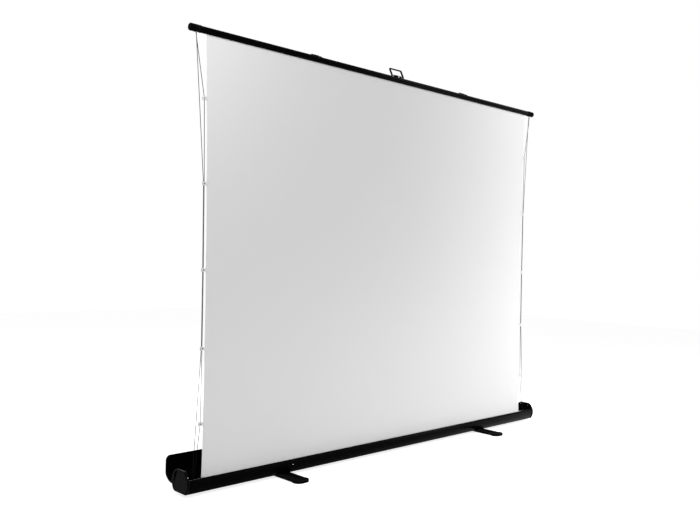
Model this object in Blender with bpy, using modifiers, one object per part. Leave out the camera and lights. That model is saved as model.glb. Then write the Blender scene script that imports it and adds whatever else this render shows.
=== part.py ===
"""Floor-standing pull-up projection screen with a tab-tensioned fabric.

Metres, +Z up, +X along the screen, the viewer in front at -Y. The origin is on the floor,
under the middle of the case. The screen stands open: the lid is swung back, the two lift
arms on each side are raised, and the fabric is stretched between the roller and the bar.
Where they are raised, the arms lean towards the middle; they fold down across each other.
"""

import math

import bmesh
import bpy
import numpy as np
from mathutils import Matrix, Vector

# Clearances
GAP = 0.0003
RUNNING_GAP = 0.0004
CUT_OVERRUN = 0.004
WELD_DISTANCE = 0.00002

# Feet, swivelling under the case
FOOT_SPACING = 1.286
FOOT_LENGTH = 0.320
FOOT_WIDTH = 0.068
FOOT_THICKNESS = 0.008
FOOT_CORNER_RADIUS = 0.018
FOOT_EDGE = 0.0012
PAD_THICKNESS = 0.0025
PAD_RADIUS = 0.012
PAD_INSET = 0.028
WASHER_THICKNESS = 0.001
WASHER_RADIUS = 0.014
PIVOT_BOLT_RADIUS = 0.004
PIVOT_HEAD_RADIUS = 0.010
PIVOT_HEAD_THICKNESS = 0.0016
PIVOT_NUT_RADIUS = 0.0075
PIVOT_NUT_THICKNESS = 0.004

# Case: trough, end plates, rim
CASE_LENGTH = 2.196
CASE_DEPTH = 0.107
CASE_HEIGHT = 0.083
CASE_SIDE_RADIUS = 0.054
CASE_WAIST_HEIGHT = 0.036
END_PLATE_THICKNESS = 0.009
END_PLATE_EDGE = 0.0018
SKIN_INSET = 0.001
WALL = 0.0018
FRONT_RIM_HEIGHT = 0.0540
RIM_LEDGE = 0.0055
RIM_LIP = 0.0030
REAR_RIM_HEIGHT = 0.0158

# Lid and its hinge
HINGE_HEIGHT = 0.020
HINGE_ROD_RADIUS = 0.0015
KNUCKLE_RADIUS = 0.0036
KNUCKLE_LENGTH = 0.060
KNUCKLE_GAP = 0.001
KNUCKLE_PAIRS = 4
KNUCKLE_WEB_REACH = 0.0024
LID_OPEN_ANGLE = math.radians(90)
LID_RIM_GAP = 0.0012
LID_END_GAP = 0.001
LID_TRIM_THICKNESS = 0.002
LID_TRIM_DEPTH = 0.007
LID_CORNER_RADIUS = 0.006

# Roller
ROLLER_HEIGHT = 0.034
ROLLER_TUBE_RADIUS = 0.0145
ROLLER_TUBE_WALL = 0.0012
ROLLER_MARGIN = 0.0075
ROLLER_PLUG_FLANGE = 0.003
ROLLER_PLUG_DEPTH = 0.020
ROLLER_SHAFT_RADIUS = 0.003
ROLLER_SHAFT_LENGTH = 0.210
ROLLER_SPRING_RADIUS = 0.0090
ROLLER_SPRING_WIRE = 0.0009
ROLLER_SPRING_LENGTH = 0.150
ROLLER_SPRING_TURNS = 12
SPRING_PLUG_LENGTH = 0.010
SPRING_PLUG_BORE_WALL = 0.0015
BRACKET_THICKNESS = 0.002
BRACKET_HEAD_RADIUS = 0.0085
BRACKET_FLANGE = 0.012
BRACKET_END_GAP = 0.0025

# Fabric, tabs and tension cords
FABRIC_END_ROOM = 0.082
FABRIC_THICKNESS = 0.00045
FABRIC_EDGE_DRAW = 0.0095
FABRIC_FRONT = -0.013
TAB_SHARES = (0.1452, 0.3102, 0.4819, 0.6699, 0.8542)
TAB_LENGTH = 0.014
TAB_REACH = 0.0190
TAB_GRIP = 0.0055
TAB_DEPTH = 0.0072
TAB_WALL = 0.0018
TAB_JAW = 0.0012
TAB_CLEARANCE = 0.0012
CORD_RADIUS = 0.00125
CORD_OFFSET = 0.0105
CORD_SPACING = 0.0032
CORD_EASE = 0.004
CORD_STRAIGHT = 0.005
CORD_ANCHOR_INSET = 0.0465
CORD_ANCHOR_HEIGHT = 0.030
CORD_ANCHOR_RADIUS = 0.0055
CORD_ANCHOR_WAIST = 0.0040
EYELET_RADIUS = 0.0062
EYELET_BORE = 0.0042
EYELET_THICKNESS = 0.0014
CORD_EXIT_INSET = 0.028
CORD_EXIT_STAGGER = 0.0018

# Top bar
BAR_HEIGHT = 1.660
BAR_SETBACK = 0.012
BAR_END_ROOM = 0.0105
BAR_RADIUS = 0.0125
BAR_WALL = 0.0016
BAR_SLOT = 0.0022
HEM_ROD_RADIUS = 0.0022
BAR_CAP_LENGTH = 0.045
BAR_CAP_RADIUS = 0.0137
BAR_CAP_END = 0.005
BAR_CAP_ROUND = 0.003

# Handle on the bar
HANDLE_WIDTH = 0.078
HANDLE_REACH = 0.037
HANDLE_STRAP_WIDTH = 0.0075
HANDLE_STRAP_THICKNESS = 0.0022
HANDLE_LEAN = math.radians(27)
HANDLE_PIVOT_LIFT = 0.0168
HANDLE_PIVOT_RADIUS = 0.0020
HANDLE_BRACKET_WIDTH = 0.038
HANDLE_BRACKET_TOP = 0.0200
HANDLE_BRACKET_HALF_DEPTH = 0.0072
HANDLE_RIVET_RADIUS = 0.0030
HANDLE_RIVET_HEIGHT = 0.0012

# Lift arms
LIFT_SPACING = 0.966
LIFT_RAISED_ANGLE = math.radians(78)
LIFT_PIVOT_HEIGHT = 0.0175
LIFT_BAR_DROP = 0.024
ARM_HALF_WIDTH = 0.010
ARM_THICKNESS = 0.004
EAR_THICKNESS = 0.0046
EAR_SETBACK = 0.0005
PIN_RADIUS = 0.003
PIN_HEAD_RADIUS = 0.0055
PIN_HEAD_THICKNESS = 0.0012
BASE_EAR_RADIUS = 0.0070
BASE_EAR_WIDTH = 0.026
BASE_FLANGE_LENGTH = 0.060
BASE_FLANGE_DEPTH = 0.022
BASE_FLANGE_REAR = 0.004
BASE_FLANGE_THICKNESS = 0.002
BASE_SPRING_RADIUS = 0.0062
BASE_SPRING_WIRE = 0.0010
BASE_SPRING_TURNS = 4
BASE_SPRING_PITCH = 0.0026
BAR_EAR_RADIUS = 0.0060
BAR_BRACKET_WIDTH = 0.042
BAR_BRACKET_TOP = 0.0215
BAR_BRACKET_STRAP = 0.0020
BAR_BRACKET_REACH = 0.020
BAR_BRACKET_SHOULDER = 0.004

# Facets
ROUND_SIDES = 32
SMALL_SIDES = 16
ARC_STEPS = 8
SMALL_ARC_STEPS = 4
SPRING_STEPS = 8
BLACK = (0.012, 0.012, 0.014)

# Places that follow from the sizes above
FOOT_BOTTOM = PAD_THICKNESS + GAP
FOOT_TOP = FOOT_BOTTOM + FOOT_THICKNESS
CASE_BOTTOM = FOOT_TOP + WASHER_THICKNESS + 2 * GAP
FLOOR_TOP = CASE_BOTTOM + WALL
INNER_HALF_LENGTH = CASE_LENGTH / 2 - END_PLATE_THICKNESS
FABRIC_WIDTH = CASE_LENGTH - 2 * FABRIC_END_ROOM
ROLLER_LENGTH = FABRIC_WIDTH + 2 * ROLLER_MARGIN
BAR_LENGTH = CASE_LENGTH - 2 * BAR_END_ROOM
CORD_ANCHOR_X = CASE_LENGTH / 2 - CORD_ANCHOR_INSET
CORD_EXIT_X = BAR_LENGTH / 2 - CORD_EXIT_INSET
TAB_HEIGHTS = tuple(share * BAR_HEIGHT for share in TAB_SHARES)
BAR_Z = CASE_BOTTOM + BAR_HEIGHT
ROLLER_Z = CASE_BOTTOM + ROLLER_HEIGHT
ROLL_INNER = ROLLER_TUBE_RADIUS + GAP
ROLL_OUTER = ROLL_INNER + 2 * FABRIC_THICKNESS
ROLL_STEP = ROLL_OUTER - FABRIC_THICKNESS
ROLLER_Y = FABRIC_FRONT - ROLL_STEP - FABRIC_THICKNESS / 2
ROLLER_END = ROLLER_LENGTH / 2 + ROLLER_PLUG_FLANGE
BRACKET_X = ROLLER_END + BRACKET_END_GAP + BRACKET_THICKNESS / 2
EAR_FRONT = BAR_SETBACK + BAR_RADIUS + EAR_SETBACK
EAR_REAR = EAR_FRONT + EAR_THICKNESS
EAR_Y = (EAR_FRONT + EAR_REAR) / 2
BASE_PIVOT_Z = CASE_BOTTOM + LIFT_PIVOT_HEIGHT
BAR_PIVOT_Z = BAR_Z - LIFT_BAR_DROP
ARM_LENGTH = (BAR_PIVOT_Z - BASE_PIVOT_Z) / 2 / math.sin(LIFT_RAISED_ANGLE)
SLOT_LEVEL = math.sqrt((BAR_RADIUS - BAR_WALL) ** 2 - (BAR_SLOT / 2) ** 2)
HEM_ROD_DROP = SLOT_LEVEL - math.sqrt((HEM_ROD_RADIUS + GAP) ** 2 - (BAR_SLOT / 2) ** 2)
FABRIC_BOTTOM = Vector((0, FABRIC_FRONT, ROLLER_Z + GAP))
FABRIC_TOP = Vector((0, BAR_SETBACK, BAR_Z - HEM_ROD_DROP - HEM_ROD_RADIUS - GAP))
FABRIC_HEIGHT = (FABRIC_TOP - FABRIC_BOTTOM).length
FABRIC_TILT = math.atan2(FABRIC_TOP.y - FABRIC_BOTTOM.y, FABRIC_TOP.z - FABRIC_BOTTOM.z)

PARTS = "projector_screen"
CUTTERS = "cutters"


def clear_scene():
    """Remove whatever the file opened with."""
    for obj in list(bpy.data.objects):
        bpy.data.objects.remove(obj, do_unlink=True)


def collection(name):
    """The collection of this name, made on first use."""
    if name not in bpy.data.collections:
        made = bpy.data.collections.new(name)
        bpy.context.scene.collection.children.link(made)
    return bpy.data.collections[name]


def material(name, colour, roughness, metallic=0.0):
    """A Principled material of one colour."""
    if name in bpy.data.materials:
        return bpy.data.materials[name]
    made = bpy.data.materials.new(name)
    made.use_nodes = True
    shader = made.node_tree.nodes["Principled BSDF"]
    shader.inputs["Base Color"].default_value = (*colour, 1.0)
    shader.inputs["Roughness"].default_value = roughness
    shader.inputs["Metallic"].default_value = metallic
    return made


def black_aluminium():
    return material("black_aluminium", BLACK, 0.18, 0.3)


def black_plastic():
    return material("black_plastic", (0.022, 0.022, 0.024), 0.42)


def grey_plastic():
    return material("grey_plastic", (0.035, 0.035, 0.037), 0.45)


def black_steel():
    return material("black_steel", (0.018, 0.018, 0.020), 0.35, 0.5)


def bright_steel():
    return material("bright_steel", (0.62, 0.62, 0.64), 0.25, 1.0)


def bare_aluminium():
    return material("bare_aluminium", (0.55, 0.56, 0.58), 0.35, 1.0)


def white_fabric():
    return material("white_fabric", (0.80, 0.80, 0.80), 0.85)


def white_plastic():
    return material("white_plastic", (0.82, 0.82, 0.81), 0.40)


def grey_cord():
    return material("grey_cord", (0.10, 0.10, 0.10), 0.80)


def black_rubber():
    return material("black_rubber", (0.015, 0.015, 0.015), 0.85)


def as_mesh(source):
    """Turn a curve or a modified object into a plain welded mesh object in the same place."""
    bpy.context.scene.collection.objects.link(source)
    bpy.context.view_layer.update()
    graph = bpy.context.evaluated_depsgraph_get()
    mesh = bpy.data.meshes.new_from_object(source.evaluated_get(graph))
    built = bpy.data.objects.new(source.name, mesh)
    built.matrix_world = source.matrix_world.copy()
    name = source.name
    bpy.data.objects.remove(source)
    built.name = name
    shape = bmesh.new()
    shape.from_mesh(mesh)
    bmesh.ops.remove_doubles(shape, verts=shape.verts, dist=WELD_DISTANCE)
    shape.to_mesh(mesh)
    shape.free()
    return built


def finish(obj, surface, axis=None):
    """Put a piece in the parts collection, with its material and the axis that it moves on."""
    obj.data.name = obj.name
    obj.data.materials.clear()
    obj.data.materials.append(surface)
    if obj.type == "MESH":
        obj.data.shade_smooth()
        obj.data.set_sharp_from_angle(angle=math.radians(35))
    collection(PARTS).objects.link(obj)
    if axis:
        bpy.context.view_layer.update()
        obj.parent = axis
        obj.matrix_parent_inverse = axis.matrix_world.inverted()
    return obj


def joint_axis(name, place, parent=None):
    """An empty on a joint's axis, which carries the pieces that turn on it."""
    empty = bpy.data.objects.new(name, None)
    empty.location = place
    empty.empty_display_size = FOOT_WIDTH
    collection(PARTS).objects.link(empty)
    bpy.context.view_layer.update()
    if parent:
        empty.parent = parent
        empty.matrix_parent_inverse = parent.matrix_world.inverted()
        bpy.context.view_layer.update()
    return empty


PLANE_TURN = {
    "XY": (0, 0, 0),
    "XZ": (math.pi / 2, 0, 0),
    "YZ": (math.pi / 2, 0, math.pi / 2),
}


def plate(name, outlines, thickness, plane="XY", place=(0, 0, 0), turn=None, edge=0.0):
    """A flat piece: outlines (the first outside, the rest holes) thickened about their plane."""
    curve = bpy.data.curves.new(name, "CURVE")
    curve.dimensions = "2D"
    curve.fill_mode = "BOTH"
    curve.extrude = thickness / 2
    for outline in outlines:
        spline = curve.splines.new("POLY")
        spline.points.add(len(outline) - 1)
        for point, (u, v) in zip(spline.points, outline):
            point.co = (u, v, 0, 1)
        spline.use_cyclic_u = True
    flat = bpy.data.objects.new(name, curve)
    flat.location = place
    flat.rotation_euler = turn or PLANE_TURN[plane]
    built = as_mesh(flat)
    if edge:
        bevel = built.modifiers.new("edge", "BEVEL")
        bevel.width = edge
        bevel.segments = 2
        bevel.limit_method = "ANGLE"
        bevel.angle_limit = math.radians(50)
        built = as_mesh(built)
    return built


def arc(centre, radius, start, end, steps=ARC_STEPS):
    """Points from the start angle to the end angle, in degrees."""
    points = []
    for step in range(steps + 1):
        angle = math.radians(start + (end - start) * step / steps)
        points.append((centre[0] + radius * math.cos(angle), centre[1] + radius * math.sin(angle)))
    return points


def circle(radius, centre=(0, 0), sides=SMALL_SIDES):
    """A closed round outline."""
    return arc(centre, radius, 0, 360, sides)[:-1]


def slot(length, width, centre=(0, 0), steps=ARC_STEPS):
    """A closed outline with round ends, along the first direction."""
    reach = (length - width) / 2
    right = arc((centre[0] + reach, centre[1]), width / 2, -90, 90, steps)
    left = arc((centre[0] - reach, centre[1]), width / 2, 90, 270, steps)
    return right + left


def rounded_rectangle(length, width, radius):
    """A closed rectangle with four rounded corners."""
    u, v = length / 2 - radius, width / 2 - radius
    corners = ((u, v, 0), (-u, v, 90), (-u, -v, 180), (u, -v, 270))
    points = []
    for x, y, start in corners:
        points += arc((x, y), radius, start, start + 90, ARC_STEPS // 2)
    return points


def turned(name, profile, along="Z", place=(0, 0, 0), sides=SMALL_SIDES, closed=False):
    """A turned piece. The profile is (radius, place along the axis), falling on its outer side."""
    mesh = bpy.data.meshes.new(name)
    shape = bmesh.new()
    verts = [shape.verts.new((radius, 0, height)) for radius, height in profile]
    pairs = list(zip(verts, verts[1:]))
    if closed:
        pairs.append((verts[-1], verts[0]))
    for first, second in pairs:
        shape.edges.new((first, second))
    shape.to_mesh(mesh)
    shape.free()
    spun = bpy.data.objects.new(name, mesh)
    screw = spun.modifiers.new("turn", "SCREW")
    screw.steps = sides
    screw.render_steps = sides
    screw.use_merge_vertices = True
    screw.merge_threshold = WELD_DISTANCE
    spun.location = place
    spun.rotation_euler = {"Z": (0, 0, 0), "X": (0, math.pi / 2, 0), "Y": (-math.pi / 2, 0, 0)}[along]
    return as_mesh(spun)


def ring_profile(outer, inner, length):
    """A closed profile for a plain ring or tube that is centred along its axis."""
    return [(outer, length / 2), (outer, -length / 2), (inner, -length / 2), (inner, length / 2)]


def rod_profile(radius, length):
    """A profile for a plain rod that is centred along its axis."""
    return [(0, length / 2), (radius, length / 2), (radius, -length / 2), (0, -length / 2)]


def dome_profile(radius, height):
    """A profile for a domed head that stands on zero."""
    rise = [(radius * math.sin(math.radians(a)), height * math.cos(math.radians(a))) for a in (0, 35, 65, 90)]
    return rise + [(0, 0)]


def block(name, low, high):
    """A plain box between two corners."""
    mesh = bpy.data.meshes.new(name)
    shape = bmesh.new()
    size = Vector(high) - Vector(low)
    middle = (Vector(high) + Vector(low)) / 2
    bmesh.ops.create_cube(shape, size=1, matrix=Matrix.Translation(middle) @ Matrix.Diagonal((*size, 1)))
    shape.to_mesh(mesh)
    shape.free()
    return bpy.data.objects.new(name, mesh)


def wire(name, points, radius, sides_level=2):
    """A round wire or cord through the points, with closed ends."""
    curve = bpy.data.curves.new(name, "CURVE")
    curve.dimensions = "3D"
    curve.bevel_depth = radius
    curve.bevel_resolution = sides_level
    curve.use_fill_caps = True
    spline = curve.splines.new("POLY")
    spline.points.add(len(points) - 1)
    for point, place in zip(spline.points, points):
        point.co = (*place, 1)
    return as_mesh(bpy.data.objects.new(name, curve))


def combine(target, others, operation):
    """Join or cut a piece by others, which stay as hidden cutters."""
    target_name = target.name
    bpy.context.scene.collection.objects.link(target)
    for count, other in enumerate(others):
        other.name = f"{target_name}_{operation.lower()}_{count}"
        other.hide_render = True
        other.display_type = "WIRE"
        collection(CUTTERS).objects.link(other)
        boolean = target.modifiers.new(other.name, "BOOLEAN")
        boolean.operation = operation
        boolean.solver = "EXACT"
        boolean.object = other
    bpy.context.scene.collection.objects.unlink(target)
    return target


def side_y(level, inset=0.0):
    """Half depth of the case's bulged side at a height above its bottom."""
    bulge = math.sqrt(CASE_SIDE_RADIUS ** 2 - (level - CASE_WAIST_HEIGHT) ** 2)
    return CASE_DEPTH / 2 - CASE_SIDE_RADIUS + bulge - inset


def side_points(low, high, inset=0.0, front=False):
    """Points up the bulged side, from one height to another, as (y, height)."""
    sign = -1 if front else 1
    levels = [low + (high - low) * step / ARC_STEPS for step in range(ARC_STEPS + 1)]
    return [(sign * side_y(level, inset), level) for level in levels]


def swept_shell(name, profile, half_length, thickness):
    """A sheet of the open (y, z) profile along X, thickened on the side that it curls towards."""
    mesh = bpy.data.meshes.new(name)
    shape = bmesh.new()
    left = [shape.verts.new((-half_length, y, z)) for y, z in profile]
    right = [shape.verts.new((half_length, y, z)) for y, z in profile]
    for index in range(len(profile) - 1):
        shape.faces.new((left[index], right[index], right[index + 1], left[index + 1]))
    shape.to_mesh(mesh)
    shape.free()
    sheet = bpy.data.objects.new(name, mesh)
    solid = sheet.modifiers.new("wall", "SOLIDIFY")
    solid.thickness = thickness
    solid.offset = 1
    solid.use_even_offset = True
    return as_mesh(sheet)


def knuckle_places(first):
    """Centres along X of every second knuckle, starting with the first or the second one."""
    spacing = INNER_HALF_LENGTH * 2 / (KNUCKLE_PAIRS + 1)
    shift = (KNUCKLE_LENGTH + KNUCKLE_GAP) * (-0.5 if first else 0.5)
    return [(step - (KNUCKLE_PAIRS - 1) / 2) * spacing + shift for step in range(KNUCKLE_PAIRS)]


def knuckle(name, x, y, z):
    """One hinge knuckle round the hinge rod."""
    profile = ring_profile(KNUCKLE_RADIUS, HINGE_ROD_RADIUS + GAP, KNUCKLE_LENGTH)
    return turned(name, profile, "X", (x, y, z), closed=True)


def knuckle_web(name, x, y, low, high):
    """The short web between a knuckle and the wall that carries it."""
    half = KNUCKLE_LENGTH / 2 - GAP
    return block(name, (x - half, y - WALL / 2, low), (x + half, y + WALL / 2, high))


def make_trough():
    """The lower extrusion: floor, bulged front wall with a ledge on its rim, low back wall."""
    front_top = -side_y(FRONT_RIM_HEIGHT, SKIN_INSET)
    profile = [(front_top + RIM_LEDGE, FRONT_RIM_HEIGHT - RIM_LIP)]
    profile += [(front_top + RIM_LEDGE, FRONT_RIM_HEIGHT)]
    front = side_points(0, FRONT_RIM_HEIGHT, SKIN_INSET, front=True)
    back = side_points(0, REAR_RIM_HEIGHT, SKIN_INSET)
    profile += front[::-1] + back
    profile = [(y, z + CASE_BOTTOM) for y, z in profile]
    trough = swept_shell("case_trough", profile, INNER_HALF_LENGTH - GAP, WALL)
    axis_y = side_y(HINGE_HEIGHT)
    axis_z = CASE_BOTTOM + HINGE_HEIGHT
    joined = []
    for x in knuckle_places(first=True):
        joined.append(knuckle("knuckle", x, axis_y, axis_z))
        wall_y = side_y(REAR_RIM_HEIGHT, SKIN_INSET) - WALL / 2
        low = CASE_BOTTOM + REAR_RIM_HEIGHT - KNUCKLE_WEB_REACH
        high = axis_z - (HINGE_ROD_RADIUS + KNUCKLE_RADIUS) / 2
        joined.append(knuckle_web("web", x, wall_y, low, high))
    combine(trough, joined, "UNION")
    holes = []
    for side in (-1, 1):
        profile = rod_profile(PIVOT_BOLT_RADIUS + GAP, WALL + CUT_OVERRUN)
        place = (side * FOOT_SPACING / 2, 0, CASE_BOTTOM + WALL / 2)
        holes.append(turned("pivot_hole", profile, "Z", place))
    combine(trough, holes, "DIFFERENCE")
    finish(trough, black_aluminium())


def closed_section(inset=0.0):
    """The whole closed section of the case, as (y, height) points."""
    top = CASE_HEIGHT - inset
    corner = LID_CORNER_RADIUS
    edge = side_y(top - corner, inset)
    right = side_points(inset, top - corner, inset)
    flat = side_y(top, inset)
    right += [((edge + flat) / 2, top - corner / 4), (flat - corner / 2, top)]
    left = [(-y, z) for y, z in reversed(right)]
    return right + left


def make_end_plates():
    """The plastic plate at each end of the case, of its full closed section."""
    outline = [(y, z + CASE_BOTTOM) for y, z in closed_section()]
    for side, word in ((-1, "left"), (1, "right")):
        x = side * (CASE_LENGTH / 2 - END_PLATE_THICKNESS / 2)
        place = (x, 0, 0)
        end = plate(f"case_end_{word}", [outline], END_PLATE_THICKNESS, "YZ", place, edge=END_PLATE_EDGE)
        finish(end, grey_plastic())


def lid_profile():
    """The lid's outer skin when closed, from the hinge over the back and top to the front rim."""
    start = HINGE_HEIGHT + KNUCKLE_RADIUS + RUNNING_GAP
    section = closed_section(SKIN_INSET)
    low_front = FRONT_RIM_HEIGHT + LID_RIM_GAP
    points = [(side_y(start, SKIN_INSET), start)]
    points += [(y, z) for y, z in section if (y > 0 and z > start) or (y <= 0 and z > low_front)]
    points.append((-side_y(low_front, SKIN_INSET), low_front))
    return points


def open_lid(points):
    """Turn closed (y, z) points back about the hinge by the angle that the lid stands open."""
    axis_y, axis_z = side_y(HINGE_HEIGHT), HINGE_HEIGHT
    cos, sin = math.cos(LID_OPEN_ANGLE), math.sin(LID_OPEN_ANGLE)
    turned_points = []
    for y, z in points:
        dy, dz = y - axis_y, z - axis_z
        turned_points.append((axis_y + dy * cos + dz * sin, CASE_BOTTOM + axis_z - dy * sin + dz * cos))
    return turned_points


def offset_inwards(points, distance):
    """The open polyline moved sideways, towards the side that it turns to."""
    moved = []
    for index, (y, z) in enumerate(points):
        before = Vector(points[max(index - 1, 0)])
        after = Vector(points[min(index + 1, len(points) - 1)])
        run = (after - before).normalized()
        moved.append((y - run.y * distance, z + run.x * distance))
    return moved


def make_lid(axis):
    """The hinged lid, standing open behind the case, with a trim on each of its ends."""
    half_length = INNER_HALF_LENGTH - LID_END_GAP - LID_TRIM_THICKNESS - GAP
    profile = open_lid(lid_profile())
    lid = swept_shell("lid_shell", profile, half_length, WALL)
    axis_y = side_y(HINGE_HEIGHT)
    axis_z = CASE_BOTTOM + HINGE_HEIGHT
    joined = []
    start_y, start_z = open_lid([(side_y(HINGE_HEIGHT + KNUCKLE_RADIUS, SKIN_INSET), 0)])[0]
    for x in knuckle_places(first=False):
        joined.append(knuckle("knuckle", x, axis_y, axis_z))
        half = KNUCKLE_LENGTH / 2 - GAP
        low = (x - half, axis_y + (HINGE_ROD_RADIUS + KNUCKLE_RADIUS) / 2, start_z)
        reach = KNUCKLE_RADIUS + RUNNING_GAP + KNUCKLE_WEB_REACH
        high = (x + half, axis_y + reach, start_z + WALL * 0.8)
        joined.append(block("web", low, high))
    combine(lid, joined, "UNION")
    finish(lid, black_aluminium(), axis)
    inner = offset_inwards(profile, LID_TRIM_DEPTH)
    for side, word in ((-1, "left"), (1, "right")):
        place = (side * (half_length + GAP + LID_TRIM_THICKNESS / 2), 0, 0)
        trim = plate(f"lid_end_{word}", [profile + inner[::-1]], LID_TRIM_THICKNESS, "YZ", place)
        finish(trim, black_plastic(), axis)


def make_hinge_rod():
    """The steel rod through all the hinge knuckles."""
    length = 2 * (INNER_HALF_LENGTH - GAP)
    place = (0, side_y(HINGE_HEIGHT), CASE_BOTTOM + HINGE_HEIGHT)
    finish(turned("hinge_rod", rod_profile(HINGE_ROD_RADIUS, length), "X", place), bright_steel())


def make_foot(side, word, axis):
    """One swivel foot with its pads, and the bolt and washer that it turns on."""
    x = side * FOOT_SPACING / 2
    outline = rounded_rectangle(FOOT_WIDTH, FOOT_LENGTH, FOOT_CORNER_RADIUS)
    hole = circle(PIVOT_BOLT_RADIUS + GAP)
    middle = (FOOT_BOTTOM + FOOT_TOP) / 2
    foot = plate(f"foot_{word}", [outline, hole], FOOT_THICKNESS, "XY", (x, 0, middle), edge=FOOT_EDGE)
    finish(foot, black_steel(), axis)
    for end, where in ((-1, "front"), (1, "rear")):
        place = (x, end * (FOOT_LENGTH / 2 - PAD_INSET), PAD_THICKNESS / 2)
        pad = turned(f"foot_pad_{word}_{where}", rod_profile(PAD_RADIUS, PAD_THICKNESS), "Z", place)
        finish(pad, black_rubber(), axis)
    washer_z = FOOT_TOP + GAP + WASHER_THICKNESS / 2
    profile = ring_profile(WASHER_RADIUS, PIVOT_BOLT_RADIUS + GAP, WASHER_THICKNESS)
    washer = turned(f"foot_washer_{word}", profile, "Z", (x, 0, washer_z), closed=True)
    finish(washer, white_plastic())
    head_top = FOOT_BOTTOM - GAP
    nut_bottom = FLOOR_TOP + GAP
    profile = [
        (0, nut_bottom + PIVOT_NUT_THICKNESS),
        (PIVOT_NUT_RADIUS, nut_bottom + PIVOT_NUT_THICKNESS),
        (PIVOT_NUT_RADIUS, nut_bottom),
        (PIVOT_BOLT_RADIUS, nut_bottom),
        (PIVOT_BOLT_RADIUS, head_top),
        (PIVOT_HEAD_RADIUS, head_top),
        (PIVOT_HEAD_RADIUS, head_top - PIVOT_HEAD_THICKNESS),
        (0, head_top - PIVOT_HEAD_THICKNESS),
    ]
    finish(turned(f"foot_pivot_{word}", profile, "Z", (x, 0, 0)), bright_steel())


def make_roller_bracket(side, word):
    """The steel bracket that holds one end of the roller."""
    half = BRACKET_HEAD_RADIUS
    head = arc((ROLLER_Y, ROLLER_Z), half, 0, 180)
    foot = FLOOR_TOP + GAP
    outline = [(ROLLER_Y - half, foot), (ROLLER_Y + half, foot)] + head
    hole = circle(ROLLER_SHAFT_RADIUS + GAP, (ROLLER_Y, ROLLER_Z))
    x = side * BRACKET_X
    upright = plate(f"roller_bracket_{word}", [outline, hole], BRACKET_THICKNESS, "YZ", (x, 0, 0))
    inner = x - side * BRACKET_THICKNESS / 4
    outer = x + side * BRACKET_FLANGE
    low = (min(inner, outer), ROLLER_Y - half + GAP, foot)
    high = (max(inner, outer), ROLLER_Y + half - GAP, foot + BRACKET_THICKNESS)
    combine(upright, [block("flange", low, high)], "UNION")
    finish(upright, bright_steel())


def helix(centre, radius, length, turns, axis_index):
    """Points of a coil along the X or the Y direction."""
    points = []
    count = turns * SPRING_STEPS
    for step in range(count + 1):
        angle = 2 * math.pi * step / SPRING_STEPS
        along = length * (step / count - 0.5)
        u, v = radius * math.cos(angle), radius * math.sin(angle)
        points.append((along, u, v) if axis_index == 0 else (u, along, v))
    return [tuple(Vector(point) + Vector(centre)) for point in points]


def make_roller(axis):
    """Roller tube with its plugs and last turns of fabric, turning on the fixed spring shaft."""
    place = (0, ROLLER_Y, ROLLER_Z)
    bore = ROLLER_TUBE_RADIUS - ROLLER_TUBE_WALL
    tube = turned("roller_tube", ring_profile(ROLLER_TUBE_RADIUS, bore, ROLLER_LENGTH), "X", place,
                  ROUND_SIDES, closed=True)
    finish(tube, bare_aluminium(), axis)
    spiral = []
    for step in range(ROUND_SIDES + 1):
        share = step / ROUND_SIDES
        angle = 2 * math.pi * share
        radius = ROLL_STEP + FABRIC_THICKNESS * share
        spiral.append((ROLLER_Y + radius * math.cos(angle), ROLLER_Z + radius * math.sin(angle)))
    bore_outline = circle(ROLL_INNER, (ROLLER_Y, ROLLER_Z), ROUND_SIDES)
    finish(plate("fabric_roll", [spiral, bore_outline], FABRIC_WIDTH, "YZ"), white_fabric(), axis)

    seat = bore - GAP
    flange = ROLLER_TUBE_RADIUS
    depth, face = -ROLLER_PLUG_DEPTH, ROLLER_PLUG_FLANGE
    hole = ROLLER_SHAFT_RADIUS + GAP
    profile = [(flange, face), (flange, GAP), (seat, GAP), (seat, depth), (hole, depth), (hole, face)]
    left = turned("roller_plug_left", profile, "X", closed=True)
    left.rotation_euler = (0, -math.pi / 2, 0)
    left.location = (-ROLLER_LENGTH / 2, ROLLER_Y, ROLLER_Z)
    finish(left, black_plastic(), axis)
    tip = BRACKET_X - ROLLER_LENGTH / 2 + BRACKET_THICKNESS / 2 + GAP
    pin = ROLLER_SHAFT_RADIUS
    profile = [(0, tip), (pin, tip), (pin, face), (flange, face), (flange, GAP), (seat, GAP),
               (seat, depth), (0, depth)]
    right = turned("roller_plug_right", profile, "X", (ROLLER_LENGTH / 2, ROLLER_Y, ROLLER_Z))
    finish(right, black_plastic(), axis)

    start = -BRACKET_X - BRACKET_THICKNESS / 2 - GAP
    middle = (start + ROLLER_SHAFT_LENGTH / 2, ROLLER_Y, ROLLER_Z)
    shaft = turned("roller_shaft", rod_profile(ROLLER_SHAFT_RADIUS, ROLLER_SHAFT_LENGTH), "X", middle)
    finish(shaft, bright_steel())
    spring_x = -ROLLER_LENGTH / 2 + ROLLER_PLUG_DEPTH + ROLLER_SPRING_LENGTH / 2 + 2 * ROLLER_SPRING_WIRE
    route = helix((spring_x, ROLLER_Y, ROLLER_Z), ROLLER_SPRING_RADIUS, ROLLER_SPRING_LENGTH,
                  ROLLER_SPRING_TURNS, axis_index=0)
    finish(wire("roller_spring", route, ROLLER_SPRING_WIRE, 1), bright_steel())
    plug_x = spring_x + ROLLER_SPRING_LENGTH / 2 + 2 * ROLLER_SPRING_WIRE + SPRING_PLUG_LENGTH / 2
    plug = turned("spring_plug", ring_profile(seat, hole, SPRING_PLUG_LENGTH), "X",
                  (plug_x, ROLLER_Y, ROLLER_Z), closed=True)
    finish(plug, black_plastic(), axis)


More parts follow.
